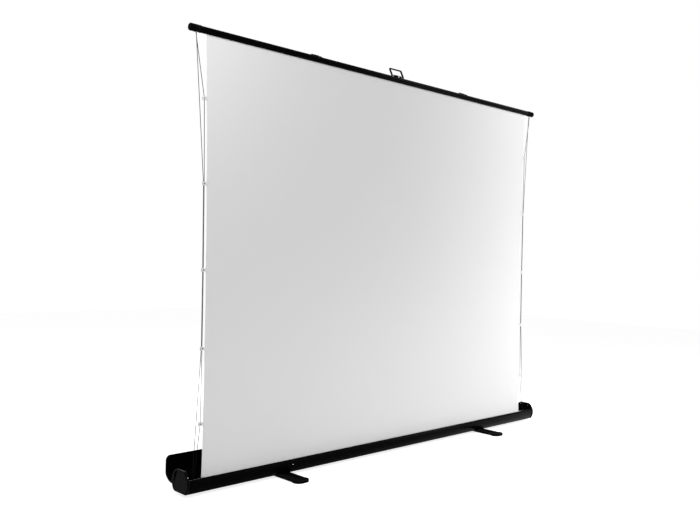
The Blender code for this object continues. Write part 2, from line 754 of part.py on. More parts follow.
def fabric_place(x, height):
    """A point of the fabric's middle plane at this height above the case bottom."""
    z = CASE_BOTTOM + height
    share = (z - FABRIC_BOTTOM.z) / (FABRIC_TOP.z - FABRIC_BOTTOM.z)
    return (x, FABRIC_BOTTOM.y + share * (FABRIC_TOP.y - FABRIC_BOTTOM.y), z)


def fabric_edge(share):
    """Half width of the fabric at a share of its height: drawn in between the corners."""
    return FABRIC_WIDTH / 2 - FABRIC_EDGE_DRAW * 4 * share * (1 - share)


def edge_at(height):
    """Half width of the fabric at a height above the case bottom."""
    share = (CASE_BOTTOM + height - FABRIC_BOTTOM.z) / (FABRIC_TOP.z - FABRIC_BOTTOM.z)
    return fabric_edge(min(max(share, 0), 1))


def tab_outline(side, x_edge):
    """A clip seen from above, on the fabric's edge: its grip, and a slot for the cords."""
    grip = FABRIC_THICKNESS / 2 + TAB_JAW
    half = TAB_DEPTH / 2
    end = (x_edge + TAB_REACH - half, 0)
    neck = x_edge + TAB_JAW
    points = [(x_edge - TAB_GRIP, grip), (x_edge, grip), (neck, half)]
    points += arc(end, half, 90, -90, SMALL_ARC_STEPS)
    points += [(neck, -half), (x_edge, -grip), (x_edge - TAB_GRIP, -grip)]
    width = TAB_DEPTH - 2 * TAB_WALL
    length = CORD_SPACING + 2 * CORD_RADIUS + 2 * TAB_CLEARANCE
    middle = (x_edge + CORD_OFFSET + CORD_SPACING / 2, 0)
    hole = slot(length, width, middle, SMALL_ARC_STEPS)
    return [(side * u, v) for u, v in points], [(side * u, v) for u, v in hole]


def make_fabric():
    """The stretched sheet, from the roller into the bar's slot, with the clips on its edges."""
    steps = 2 * ARC_STEPS
    right = [(fabric_edge(step / steps), FABRIC_HEIGHT * step / steps) for step in range(steps + 1)]
    left = [(-x, v) for x, v in reversed(right)]
    turn = (math.pi / 2 - FABRIC_TILT, 0, 0)
    sheet = plate("fabric", [right + left], FABRIC_THICKNESS, place=FABRIC_BOTTOM, turn=turn)
    tabs = []
    for side in (-1, 1):
        for height in TAB_HEIGHTS:
            outline, hole = tab_outline(side, edge_at(height))
            place = fabric_place(0, height)
            turn = (-FABRIC_TILT, 0, 0)
            tabs.append(plate("tab", [outline, hole], TAB_LENGTH, place=place, turn=turn))
    finish(combine(sheet, tabs, "UNION"), white_fabric())


def taut_route(points):
    """Points of a cord pulled tight through (x, y, height) points, eased a little at each of them."""
    xs, ys, heights = zip(*points)
    levels = [heights[0]]
    for height in heights[1:-1]:
        levels += [height + CORD_EASE * share for share in (-1, 0, 1)]
    levels.append(heights[-1])
    route = []
    for level in levels:
        window = [level + CORD_EASE * share for share in (-1, -0.5, 0, 0.5, 1)]
        x = np.mean(np.interp(window, heights, xs))
        y = np.mean(np.interp(window, heights, ys))
        route.append((x, y, CASE_BOTTOM + level))
    return route


def make_cords(side, word):
    """The two tension cords of one side, from the anchor in the case up to the eyelet."""
    top = BAR_HEIGHT - BAR_CAP_RADIUS - GAP
    bottom = CORD_ANCHOR_HEIGHT + GAP
    lifted, lowered = bottom + CORD_STRAIGHT, top - CORD_STRAIGHT
    for kind, turn, tabs, offset in (
        ("inner", -1, TAB_HEIGHTS, CORD_OFFSET),
        ("outer", 1, TAB_HEIGHTS[1:4], CORD_OFFSET + CORD_SPACING),
    ):
        start_x = CORD_ANCHOR_X + turn * CORD_SPACING
        start_y = fabric_place(start_x, bottom)[1]
        end_x = CORD_EXIT_X - turn * CORD_EXIT_STAGGER
        end_y = BAR_SETBACK + turn * CORD_EXIT_STAGGER
        points = [(start_x, start_y, bottom), (start_x, start_y, lifted)]
        for height in tabs:
            x = edge_at(height) + offset
            points.append((x, fabric_place(x, height)[1], height))
        points += [(end_x, end_y, lowered), (end_x, end_y, top)]
        places = [(side * x, y, z) for x, y, z in taut_route(points)]
        finish(wire(f"cord_{kind}_{word}", places, CORD_RADIUS), grey_cord())


def make_cord_anchor(side, word):
    """The post in the case that holds the lower ends of two cords."""
    foot = FLOOR_TOP + GAP
    top = CASE_BOTTOM + CORD_ANCHOR_HEIGHT
    rise = top - foot
    head, waist = CORD_ANCHOR_RADIUS, CORD_ANCHOR_WAIST
    profile = [(0, top), (head, top), (head, top - rise / 4), (waist, top - rise / 3)]
    profile += [(waist, foot + rise / 4), (head, foot + rise / 8), (head, foot), (0, foot)]
    place = fabric_place(side * CORD_ANCHOR_X, CORD_ANCHOR_HEIGHT)
    post = turned(f"cord_anchor_{word}", profile, "Z", (place[0], place[1], 0))
    finish(post, black_plastic())


def make_cord_eyelet(side, word, axis):
    """The ring under a bar cap that two cords run into."""
    place = (side * CORD_EXIT_X, BAR_SETBACK, BAR_Z - BAR_CAP_RADIUS - GAP - EYELET_THICKNESS / 2)
    profile = ring_profile(EYELET_RADIUS, EYELET_BORE, EYELET_THICKNESS)
    finish(turned(f"cord_eyelet_{word}", profile, "Z", place, closed=True), bright_steel(), axis)


def make_bar(axis):
    """The slotted top bar, its caps, the rod that holds the hem, and the cord eyelets."""
    half_angle = math.degrees(math.asin(BAR_SLOT / 2 / BAR_RADIUS))
    inner_radius = BAR_RADIUS - BAR_WALL
    inner_angle = math.degrees(math.asin(BAR_SLOT / 2 / inner_radius))
    outline = arc((BAR_SETBACK, BAR_Z), BAR_RADIUS, -90 + half_angle, 270 - half_angle, ROUND_SIDES)
    outline += arc((BAR_SETBACK, BAR_Z), inner_radius, 270 - inner_angle, -90 + inner_angle, ROUND_SIDES)
    length = BAR_LENGTH - 2 * (BAR_CAP_END + GAP)
    finish(plate("top_bar", [outline], length, "YZ"), black_aluminium(), axis)

    rod_place = (0, BAR_SETBACK, BAR_Z - HEM_ROD_DROP)
    finish(turned("hem_rod", rod_profile(HEM_ROD_RADIUS, FABRIC_WIDTH), "X", rod_place),
           white_plastic(), axis)
    corner = BAR_CAP_ROUND
    middle = BAR_CAP_RADIUS - corner
    round_end = [(middle + corner * math.sin(math.radians(a)), -corner + corner * math.cos(math.radians(a)))
                 for a in (0, 30, 60, 90)]
    bore = BAR_RADIUS + GAP
    profile = [(0, 0)] + round_end
    profile += [(BAR_CAP_RADIUS, -BAR_CAP_LENGTH), (bore, -BAR_CAP_LENGTH), (bore, -BAR_CAP_END),
                (0, -BAR_CAP_END)]
    for side, word in ((-1, "left"), (1, "right")):
        cap = turned(f"bar_cap_{word}", profile, "X", sides=ROUND_SIDES)
        cap.rotation_euler = (0, side * math.pi / 2, 0)
        cap.location = (side * BAR_LENGTH / 2, BAR_SETBACK, BAR_Z)
        finish(cap, black_plastic(), axis)


def make_bar_bracket(side, word, axis):
    """The plate behind the bar that holds an upper arm, with a strap over the bar."""
    x = side * LIFT_SPACING / 2
    half = BAR_BRACKET_WIDTH / 2
    shoulder = BAR_Z - BAR_BRACKET_SHOULDER
    top = BAR_Z + BAR_BRACKET_TOP
    outline = [(half, shoulder), (half, top), (-half, top), (-half, shoulder)]
    outline += arc((0, BAR_PIVOT_Z), BAR_EAR_RADIUS, 180, 360)
    hole = circle(PIN_RADIUS + GAP, (0, BAR_PIVOT_Z))
    back = plate(f"bar_bracket_{word}", [outline, hole], EAR_THICKNESS, "XZ", (x, EAR_Y, 0))
    strap_z = BAR_Z + BAR_RADIUS + GAP
    low = (x - half + GAP, EAR_Y - BAR_BRACKET_REACH, strap_z)
    high = (x + half - GAP, EAR_Y, strap_z + BAR_BRACKET_STRAP)
    combine(back, [block("strap", low, high)], "UNION")
    finish(back, black_steel(), axis)


def make_handle_bracket(axis):
    """The saddle in the middle of the bar, its pivot rod and a bright rivet on its front."""
    half = HANDLE_BRACKET_HALF_DEPTH
    inner = BAR_RADIUS + GAP
    reach = math.degrees(math.asin(half / inner))
    top = HANDLE_BRACKET_TOP - half
    saddle = arc((0, 0), inner, 90 - reach, 90 + reach)
    crown = arc((0, top), half, 180, 0)
    hole = circle(HANDLE_PIVOT_RADIUS + GAP / 2, (0, HANDLE_PIVOT_LIFT - GAP))
    place = (0, BAR_SETBACK, BAR_Z)
    outline = saddle + crown
    finish(plate("handle_bracket", [outline, hole], HANDLE_BRACKET_WIDTH, "YZ", place),
           black_plastic(), axis)
    pivot = (0, BAR_SETBACK, BAR_Z + HANDLE_PIVOT_LIFT - GAP)
    rod = turned("handle_pivot", rod_profile(HANDLE_PIVOT_RADIUS, HANDLE_WIDTH), "X", pivot)
    finish(rod, black_steel(), axis)
    head = turned("handle_rivet", dome_profile(HANDLE_RIVET_RADIUS, HANDLE_RIVET_HEIGHT), "Y")
    head.rotation_euler = (math.pi / 2, 0, 0)
    head.location = (0, BAR_SETBACK - half - GAP, BAR_Z + top)
    finish(head, bright_steel(), axis)


def make_handle(axis):
    """The bent strap handle, leaning back on its pivot rod."""
    thickness = HANDLE_STRAP_THICKNESS
    half = HANDLE_STRAP_WIDTH / 2
    outline = arc((0, 0), half, 180, 360) + [(half, HANDLE_REACH), (-half, HANDLE_REACH)]
    hole = circle(HANDLE_PIVOT_RADIUS + GAP)
    pivot = (0, BAR_SETBACK, BAR_Z + HANDLE_PIVOT_LIFT - GAP)
    legs = []
    for side in (-1, 1):
        place = (side * (HANDLE_WIDTH - thickness) / 2, 0, 0)
        legs.append(plate("leg", [outline, hole], thickness, "YZ", place))
    reach = HANDLE_WIDTH / 2 - thickness / 2
    top = block("handle", (-reach, -half + GAP / 3, HANDLE_REACH - thickness),
                (reach, half - GAP / 3, HANDLE_REACH - GAP / 3))
    handle = combine(top, legs, "UNION")
    lean = Matrix.Translation(pivot) @ Matrix.Rotation(-HANDLE_LEAN, 4, "X")
    for piece in legs:
        piece.matrix_world = lean @ piece.matrix_basis
    handle.matrix_world = lean
    finish(handle, black_steel(), axis)


def pin(name, x, z, y_low, y_high, shoulder=None):
    """A pin along Y with a head beyond each end, and a spacer where it passes a free plane."""
    head, radius, thick = PIN_HEAD_RADIUS, PIN_RADIUS, PIN_HEAD_THICKNESS
    low, high = y_low - GAP, y_high + GAP
    profile = [(0, high + thick), (head, high + thick), (head, high), (radius, high)]
    if shoulder:
        far, near = max(shoulder), min(shoulder)
        profile += [(radius, far), (head, far), (head, near), (radius, near)]
    profile += [(radius, low), (head, low), (head, low - thick), (0, low - thick)]
    return turned(name, profile, "Y", (x, 0, z))


def arm(name, start, end, y, axis):
    """A flat arm with a pivot hole at each end, its origin on the first one."""
    run = Vector((end[0] - start[0], end[1] - start[1]))
    length = run.length
    outline = slot(length + 2 * ARM_HALF_WIDTH, 2 * ARM_HALF_WIDTH, (length / 2, 0))
    holes = [circle(PIN_RADIUS + GAP), circle(PIN_RADIUS + GAP, (length, 0))]
    turn = (math.pi / 2, -math.atan2(run.y, run.x), 0)
    flat = plate(name, [outline] + holes, ARM_THICKNESS, place=(start[0], y, start[1]), turn=turn)
    return finish(flat, bare_aluminium(), axis)


def make_lift(side, word):
    """One side of the lift: base bracket, pins, spring, and a lower and an upper arm."""
    ear = EAR_THICKNESS / 2
    pitch = ARM_THICKNESS + RUNNING_GAP
    facing = side
    near = EAR_Y + facing * (ear + RUNNING_GAP + ARM_THICKNESS / 2)
    far = near + facing * pitch
    half = ARM_THICKNESS / 2
    base = (side * LIFT_SPACING / 2, BASE_PIVOT_Z)
    top = (base[0], BAR_PIVOT_Z)
    elbow = (base[0] - side * ARM_LENGTH * math.cos(LIFT_RAISED_ANGLE),
             base[1] + ARM_LENGTH * math.sin(LIFT_RAISED_ANGLE))

    lower_axis = joint_axis(f"lift_axis_{word}", (base[0], EAR_Y, base[1]))
    elbow_axis = joint_axis(f"elbow_axis_{word}", (elbow[0], EAR_Y, elbow[1]), lower_axis)
    arm(f"lower_arm_{word}", base, elbow, far, lower_axis)
    arm(f"upper_arm_{word}", elbow, top, near, elbow_axis)
    span = sorted((near - facing * half, far + facing * half))
    finish(pin(f"elbow_pin_{word}", elbow[0], elbow[1], span[0], span[1]), bright_steel(), lower_axis)

    ear_outer = EAR_Y - facing * ear
    shoulder = (near - facing * (half + RUNNING_GAP - GAP), near + facing * (half + RUNNING_GAP - GAP))
    span = sorted((ear_outer, far + facing * half))
    finish(pin(f"base_pin_{word}", base[0], base[1], span[0], span[1], shoulder), bright_steel())

    floor = FLOOR_TOP + GAP
    width = BASE_EAR_WIDTH / 2
    outline = [(-width, floor), (width, floor)] + arc((0, BASE_PIVOT_Z), BASE_EAR_RADIUS, 0, 180)
    hole = circle(PIN_RADIUS + GAP, (0, BASE_PIVOT_Z))
    bracket = plate(f"base_bracket_{word}", [outline, hole], EAR_THICKNESS, "XZ", (base[0], EAR_Y, 0))
    rear = EAR_REAR + BASE_FLANGE_REAR
    low = (base[0] - BASE_FLANGE_LENGTH / 2, rear - BASE_FLANGE_DEPTH, floor)
    high = (base[0] + BASE_FLANGE_LENGTH / 2, rear, floor + BASE_FLANGE_THICKNESS)
    combine(bracket, [block("flange", low, high)], "UNION")
    finish(bracket, bright_steel())

    coil_length = BASE_SPRING_TURNS * BASE_SPRING_PITCH
    head_end = ear + GAP + PIN_HEAD_THICKNESS
    coil_y = EAR_Y - facing * (head_end + GAP + BASE_SPRING_WIRE + coil_length / 2)
    route = helix((base[0], coil_y, BASE_PIVOT_Z), BASE_SPRING_RADIUS, coil_length,
                  BASE_SPRING_TURNS, axis_index=1)
    finish(wire(f"base_spring_{word}", route, BASE_SPRING_WIRE, 1), black_steel())
    return elbow_axis


def make_top_pin(side, word, axis):
    """The pin at the top of an upper arm, fixed in its bar bracket."""
    ear = EAR_THICKNESS / 2
    span = sorted((EAR_Y - side * ear, EAR_Y + side * (ear + RUNNING_GAP + ARM_THICKNESS)))
    top_pin = pin(f"top_pin_{word}", side * LIFT_SPACING / 2, BAR_PIVOT_Z, span[0], span[1])
    finish(top_pin, bright_steel(), axis)


def main():
    clear_scene()
    sides = ((-1, "left"), (1, "right"))
    make_trough()
    make_end_plates()
    make_hinge_rod()
    hinge_place = (0, side_y(HINGE_HEIGHT), CASE_BOTTOM + HINGE_HEIGHT)
    make_lid(joint_axis("lid_axis", hinge_place))
    for side, word in sides:
        foot_place = (side * FOOT_SPACING / 2, 0, FOOT_TOP)
        make_foot(side, word, joint_axis(f"foot_axis_{word}", foot_place))
        make_roller_bracket(side, word)
        make_cord_anchor(side, word)
        make_cords(side, word)
    make_roller(joint_axis("roller_axis", (0, ROLLER_Y, ROLLER_Z)))
    make_fabric()

    elbow_axes = [make_lift(side, word) for side, word in sides]
    bar_place = (-LIFT_SPACING / 2, EAR_Y, BAR_PIVOT_Z)
    bar_axis = joint_axis("bar_axis", bar_place, elbow_axes[0])
    make_bar(bar_axis)
    for side, word in sides:
        make_bar_bracket(side, word, bar_axis)
        make_top_pin(side, word, bar_axis)
        make_cord_eyelet(side, word, bar_axis)
    make_handle_bracket(bar_axis)
    handle_place = (0, BAR_SETBACK, BAR_Z + HANDLE_PIVOT_LIFT - GAP)
    make_handle(joint_axis("handle_axis", handle_place, bar_axis))


main()
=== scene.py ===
"""A pull-up projection screen on two swivel feet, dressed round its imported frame.

Metres, +Z up, +X along the screen, the viewer at -Y. Heights that part.py gives from the
bottom of the case are "levels" here.
"""

import math

import bpy
import numpy as np
from mathutils import Matrix, Vector


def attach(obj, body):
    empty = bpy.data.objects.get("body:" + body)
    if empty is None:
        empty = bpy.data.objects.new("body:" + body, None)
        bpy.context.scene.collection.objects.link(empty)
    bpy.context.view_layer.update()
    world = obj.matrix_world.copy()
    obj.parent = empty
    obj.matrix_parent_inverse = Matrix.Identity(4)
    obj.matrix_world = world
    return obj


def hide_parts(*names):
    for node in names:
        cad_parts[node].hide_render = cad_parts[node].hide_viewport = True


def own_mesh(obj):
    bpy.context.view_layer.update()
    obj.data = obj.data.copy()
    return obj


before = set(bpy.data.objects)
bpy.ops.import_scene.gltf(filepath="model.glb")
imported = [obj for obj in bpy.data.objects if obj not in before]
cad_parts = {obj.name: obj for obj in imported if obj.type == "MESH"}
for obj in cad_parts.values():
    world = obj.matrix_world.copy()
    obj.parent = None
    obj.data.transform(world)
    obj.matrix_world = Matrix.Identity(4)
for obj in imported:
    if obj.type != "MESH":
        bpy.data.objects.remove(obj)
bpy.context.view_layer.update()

# Clearances and places, as the part's source has them
GAP = 0.0003
RUNNING_GAP = 0.0004
CASE_BOTTOM = 0.0124
FLOOR_TOP = 0.0142
CASE_END = 1.098
END_CAP_THICKNESS = 0.009
INNER_END = CASE_END - END_CAP_THICKNESS
CASE_DEPTH = 0.107
CASE_HEIGHT = 0.083
SIDE_RADIUS = 0.054
WAIST_LEVEL = 0.036
SKIN_INSET = 0.001
WALL = 0.0018
FRONT_RIM = 0.0540
RIM_LEDGE = 0.0055
RIM_LIP = 0.0030
REAR_RIM = 0.0158
TROUGH_FOOT = 0.0030
CAP_CORNERS = ((0.0095, 0.0030), (0.0050, 0.0060))
CAP_PANEL_SINK = 0.0008
CAP_SCREWS = ((-0.036, 0.014), (0.036, 0.014), (0, 0.068))
LID_STUD_LEVEL = 0.064
LID_STUD_INSET = 0.0040
CATCH_LOW, CATCH_HIGH = (-0.0262, 0.0762), (-0.0226, 0.0858)
CATCH_THICKNESS = 0.0022
INNER_SCREWS = ((0.0235, 0.0860), (0.0070, 0.0520))
FRONT_RIVET_LEVEL = 0.034
FRONT_RIVETS_INWARD = (0.0065, 0.0305)

HINGE_LEVEL = 0.020
HINGE_ROD = 0.0015
KNUCKLE = 0.0036
KNUCKLE_LENGTH = 0.060
KNUCKLE_GAP = 0.001
KNUCKLE_PAIRS = 4
KNUCKLE_EDGE = 0.0004
KNUCKLE_WEB = 0.0024
LID_RIM_GAP = 0.0012
LID_CORNER = 0.006
LID_TRIM = 0.002
LID_TRIM_DEPTH = 0.007
LID_LIP = 0.0030
LID_END_GAP = 0.001
LID_SCREW_INSET = 0.010
LID_SCREWS_Y = (-0.036, 0.030)
BUFFERS_X = (-0.9, -0.3, 0.3, 0.9)
BUFFER_Y = -0.024

FOOT_X = 0.643
FOOT_HALF = (0.034, 0.160)
FOOT_LOW, FOOT_HIGH = 0.0028, 0.0108
FOOT_CORNER = 0.0245
FOOT_END_LENGTH = 0.034
FOOT_END_LOW, FOOT_END_HIGH = 0.0014, 0.0119
FOOT_END_CORNER = 0.0240
FOOT_END_WALL = 0.0006
FOOT_BOLT_HOLE = 0.0043
PAD_Y = 0.132
PAD_RADIUS = 0.012
PAD_THICKNESS = 0.0025

ROLLER_Y, ROLLER_Z = -0.028475, 0.0464
TUBE_RADIUS = 0.0145
TUBE_WALL = 0.0012
TUBE_LENGTH = 2.047
BRACKET_X = 1.030
BRACKET_HALF = 0.0085
BRACKET_FLANGE = 0.012
BRACKET_SHEET = 0.002
SHAFT_HOLE = 0.0033
WINDING_STEPS = 72
WINDING_EASE = 0.96

FABRIC_WIDTH = 2.032
FABRIC_THICKNESS = 0.00045
FABRIC_DRAW = 0.0095
EDGE_SCALLOP = 0.0016
EDGE_PULL = 0.0010
TAPE_INSET = 0.0022
TAPE_WIDTH = 0.011
TAPE_END = 0.012
TAPE_THICKNESS = 0.0003
TAPE_GAP = 0.00018
BAR_Y = 0.012
BAR_LEVEL = 1.660
BAR_Z = CASE_BOTTOM + BAR_LEVEL
BAR_RADIUS = 0.0125
BAR_WALL = 0.0016
BAR_SLOT = 0.0022
BAR_END = 1.0875
HEM_ROD = 0.0022
SLOT_LEVEL = math.sqrt((BAR_RADIUS - BAR_WALL) ** 2 - (BAR_SLOT / 2) ** 2)
HEM_DROP = SLOT_LEVEL - math.sqrt((HEM_ROD + GAP) ** 2 - (BAR_SLOT / 2) ** 2)
FABRIC_BOTTOM = Vector((0, -0.013, ROLLER_Z + GAP))
FABRIC_TOP = Vector((0, BAR_Y, BAR_Z - HEM_DROP - HEM_ROD - GAP))
TAB_LEVELS = tuple(share * BAR_LEVEL for share in (0.1452, 0.3102, 0.4819, 0.6699, 0.8542))
TAB_LENGTH = 0.014
TAB_REACH = 0.0190
TAB_GRIP = 0.0055
TAB_DEPTH = 0.0072
TAB_WALL = 0.0018
TAB_JAW = 0.0012
TAB_CLEARANCE = 0.0012
TAB_WINDOW = 0.0075
TAB_WINDOW_HALF = 0.0022
FIRST_CLIP_Z = CASE_BOTTOM + TAB_LEVELS[0]

CORD_RADIUS = 0.00125
STRETCHED_CORD_RADIUS = 0.00115
CORD_OFFSET = 0.0105
CORD_SPACING = 0.0032
CORD_EASE = 0.004
CORD_STRAIGHT = 0.005
ANCHOR_X = 1.0515
ANCHOR_LEVEL = 0.030
POST_HEAD, POST_NECK = 0.0055, 0.0040
EYELET_X = 1.0595
EYELET_STAGGER = 0.0018
EYELET_RADIUS = 0.0052
EYELET_HALF = (0.0007, 0.0010)

CAP_LENGTH = 0.045
CAP_RADIUS = 0.0137
CAP_END = 0.005
CAP_ROUNDING = 0.0034
CAP_GROOVE = 0.0004

HANDLE_WIDTH = 0.078
HANDLE_REACH = 0.037
STRAP_WIDTH = 0.0075
STRAP_THICKNESS = 0.0022
STRAP_BEND = 0.0032
STRAP_INNER_BEND = 0.0010
LEG_THICKNESS = 0.0040
HANDLE_LEAN = math.radians(27)
HANDLE_PIVOT_RISE = 0.0165
HANDLE_PIVOT = Vector((0, BAR_Y, BAR_Z + HANDLE_PIVOT_RISE))
HANDLE_ROD = 0.0020
SADDLE_WIDTH = 0.038
SADDLE_TOP = 0.0200
SADDLE_HALF = 0.0072

LIFT_X = 0.483
LIFT_ANGLE = math.radians(78)
BASE_PIVOT_Z = 0.0299
BAR_PIVOT_DROP = 0.024
BAR_PIVOT_Z = BAR_Z - BAR_PIVOT_DROP
ARM_LENGTH = (BAR_PIVOT_Z - BASE_PIVOT_Z) / 2 / math.sin(LIFT_ANGLE)
ARM_HALF = 0.010
ARM_THICKNESS = 0.004
EAR_FRONT, EAR_REAR = 0.0250, 0.0296
EAR_Y = (EAR_FRONT + EAR_REAR) / 2
PIN_RADIUS = 0.003
PIN_HEAD = 0.0055
PIN_HEAD_THICKNESS = 0.0012
PLATE_HALF = 0.021
PLATE_SHOULDER, PLATE_TOP = -0.004, 0.0215
PLATE_EAR = 0.0060
STRAP_SWEEP = 68
STRAP_SHEET = 0.0020
STRAP_SCREW_X = 0.013
STRAP_SCREW_Y = 0.0185
STRAP_SCREW_RISE = 0.013
STAND_HALF = 0.013
STAND_EAR = 0.0070
STAND_FLANGE = (0.030, 0.022, 0.002)
STAND_FLANGE_OVER = 0.004
STAND_RIVET_X = 0.022
COIL_TURNS = 4
COIL_PITCH = 0.0026
COIL_WIRE = 0.0010
COIL_RADIUS = 0.0062
COIL_STEPS = 24
COIL_TAIL_RISE = 0.0036

MERGE_DISTANCE = 0.000002
NODE_SEAM = 0.00001
NODE_EDGE = 0.0002
SIDES = ((-1, "left"), (1, "right"))

# The studio: the even surround, and each softbox as name, place, aim, width, height, watts
SURROUND = 0.22
FLOOR_GLOW = 0.80
SOFTBOXES = (
    ("softbox_right", (1.9, -1.1, 0.6), (1.1, 0, 0.7), 0.6, 1.0, 14.4),
    ("softbox_top_right", (1.5, -1.1, 2.4), (1.2, 0, 1.4), 0.9, 0.9, 16.4),
    ("softbox_top_left", (-1.9, -0.9, 2.2), (-1.1, 0, 1.6), 0.6, 0.6, 18.4),
    ("softbox_top_middle", (-0.6, -0.9, 2.5), (-0.6, 0, 1.5), 1.6, 0.6, 1.8),
    ("softbox_low", (0.2, -1.0, 0.22), (0.2, 0, 0.30), 2.0, 0.25, 3.5),
    ("softbox_low_left", (-1.3, -0.9, 0.2), (-1.0, 0, 0.30), 0.5, 0.3, 1.25),
    ("softbox_rear", (0.6, 2.4, 1.7), (0, 0, 0.9), 1.8, 1.2, 42),
)
IMAGE_SIZE = (700, 518)
CAMERA_PLACE = (-2.6125, -2.4060, 0.8811)


# ---------------------------------------------------------------- camera, light and floor

def set_camera():
    """Stand the camera where the photograph was taken from."""
    focal, centre_down = 784.54, 279.20
    heading, rise, roll = 0.77083, -0.03095, 0.02717
    ahead = Vector((math.sin(heading) * math.cos(rise), math.cos(heading) * math.cos(rise),
                    math.sin(rise)))
    across = Vector((math.cos(heading), -math.sin(heading), 0))
    up = across.cross(ahead)
    right = across * math.cos(roll) + up * math.sin(roll)
    top = up * math.cos(roll) - across * math.sin(roll)
    data = bpy.data.cameras.new("camera")
    data.sensor_fit = "HORIZONTAL"
    data.sensor_width = 36
    data.lens = focal / IMAGE_SIZE[0] * data.sensor_width
    data.shift_y = (centre_down - IMAGE_SIZE[1] / 2) / IMAGE_SIZE[0]
    data.clip_start, data.clip_end = 0.05, 60
    camera = bpy.data.objects.new("camera", data)
    turn = Matrix((right, top, -ahead)).transposed().to_4x4()
    camera.matrix_world = Matrix.Translation(CAMERA_PLACE) @ turn
    bpy.context.scene.collection.objects.link(camera)
    bpy.context.scene.camera = camera


def softbox(name, place, aim, width, height, watts):
    """One soft studio lamp, turned to the point that it lights."""
    data = bpy.data.lights.new(name, "AREA")
    data.shape = "RECTANGLE"
    data.size, data.size_y = width, height
    data.energy = watts
    lamp = bpy.data.objects.new(name, data)
    lamp.visible_camera = False
    lamp.location = place
    lamp.rotation_euler = (Vector(aim) - Vector(place)).to_track_quat("-Z", "Z").to_euler()
    bpy.context.scene.collection.objects.link(lamp)


def seen_directly(tree):
    """1 for the rays by which the camera, a gloss or a glass sees something, else 0."""
    rays = tree.nodes.new("ShaderNodeLightPath")
    total = rays.outputs["Is Camera Ray"]
    for kind in ("Is Glossy Ray", "Is Transmission Ray"):
        either = tree.nodes.new("ShaderNodeMath")
        either.operation = "MAXIMUM"
        tree.links.new(total, either.inputs[0])
        tree.links.new(rays.outputs[kind], either.inputs[1])
        total = either.outputs[0]
    return total


def set_light():
    """A white studio: an even surround, and soft boxes that light the fabric as photographed."""
    scene = bpy.context.scene
    scene.view_settings.view_transform = "Standard"
    world = bpy.data.worlds.new("studio")
    scene.world = world
    world.use_nodes = True
    tree = world.node_tree
    around, white = tree.nodes["Background"], tree.nodes.new("ShaderNodeBackground")
    around.inputs["Color"].default_value = (1, 1, 1, 1)
    around.inputs["Strength"].default_value = SURROUND
    white.inputs["Color"].default_value = (1, 1, 1, 1)
    white.inputs["Strength"].default_value = 1.0
    either = tree.nodes.new("ShaderNodeMixShader")
    tree.links.new(seen_directly(tree), either.inputs[0])
    tree.links.new(around.outputs[0], either.inputs[1])
    tree.links.new(white.outputs[0], either.inputs[2])
    tree.links.new(either.outputs[0], tree.nodes["World Output"].inputs["Surface"])
    for facts in SOFTBOXES:
        softbox(*facts)


def set_floor():
    """A plain white floor that shows the object's shadow."""
    bpy.ops.mesh.primitive_plane_add(size=16, location=(0, 0, 0))
    floor = bpy.context.object
    floor.name = "floor"
    paint = bpy.data.materials.new("white_floor")
    paint.use_nodes = True
    tree = paint.node_tree
    tree.nodes.remove(tree.nodes["Principled BSDF"])
    matt = tree.nodes.new("ShaderNodeBsdfDiffuse")
    matt.inputs["Color"].default_value = (0.8, 0.8, 0.8, 1)
    glow = tree.nodes.new("ShaderNodeEmission")
    glow.inputs["Color"].default_value = (1, 1, 1, 1)
    share = tree.nodes.new("ShaderNodeMath")
    share.operation = "MULTIPLY"
    share.inputs[1].default_value = FLOOR_GLOW
    tree.links.new(seen_directly(tree), share.inputs[0])
    tree.links.new(share.outputs[0], glow.inputs["Strength"])
    both = tree.nodes.new("ShaderNodeAddShader")
    tree.links.new(matt.outputs[0], both.inputs[0])
    tree.links.new(glow.outputs[0], both.inputs[1])
    tree.links.new(both.outputs[0], tree.nodes["Material Output"].inputs["Surface"])
    floor.data.materials.append(paint)


# ---------------------------------------------------------------- finishes

DUST = (0.06, 0.058, 0.056)


class Level:
    """A number that varies over a surface. A sum written with it adds Math nodes."""

    def __init__(self, finish, socket):
        self.finish = finish
        self.socket = socket

    def maths(self, operation, first, second):
        node = self.finish.add("ShaderNodeMath", {"operation": operation}, {0: first, 1: second})
        return Level(self.finish, node.outputs[0])

    def __add__(self, other):
        return self.maths("ADD", self, other)

    def __sub__(self, other):
        return self.maths("SUBTRACT", self, other)

    def __rsub__(self, other):
        return self.maths("SUBTRACT", other, self)

    def __mul__(self, other):
        return self.maths("MULTIPLY", self, other)

    __radd__ = __add__
    __rmul__ = __mul__


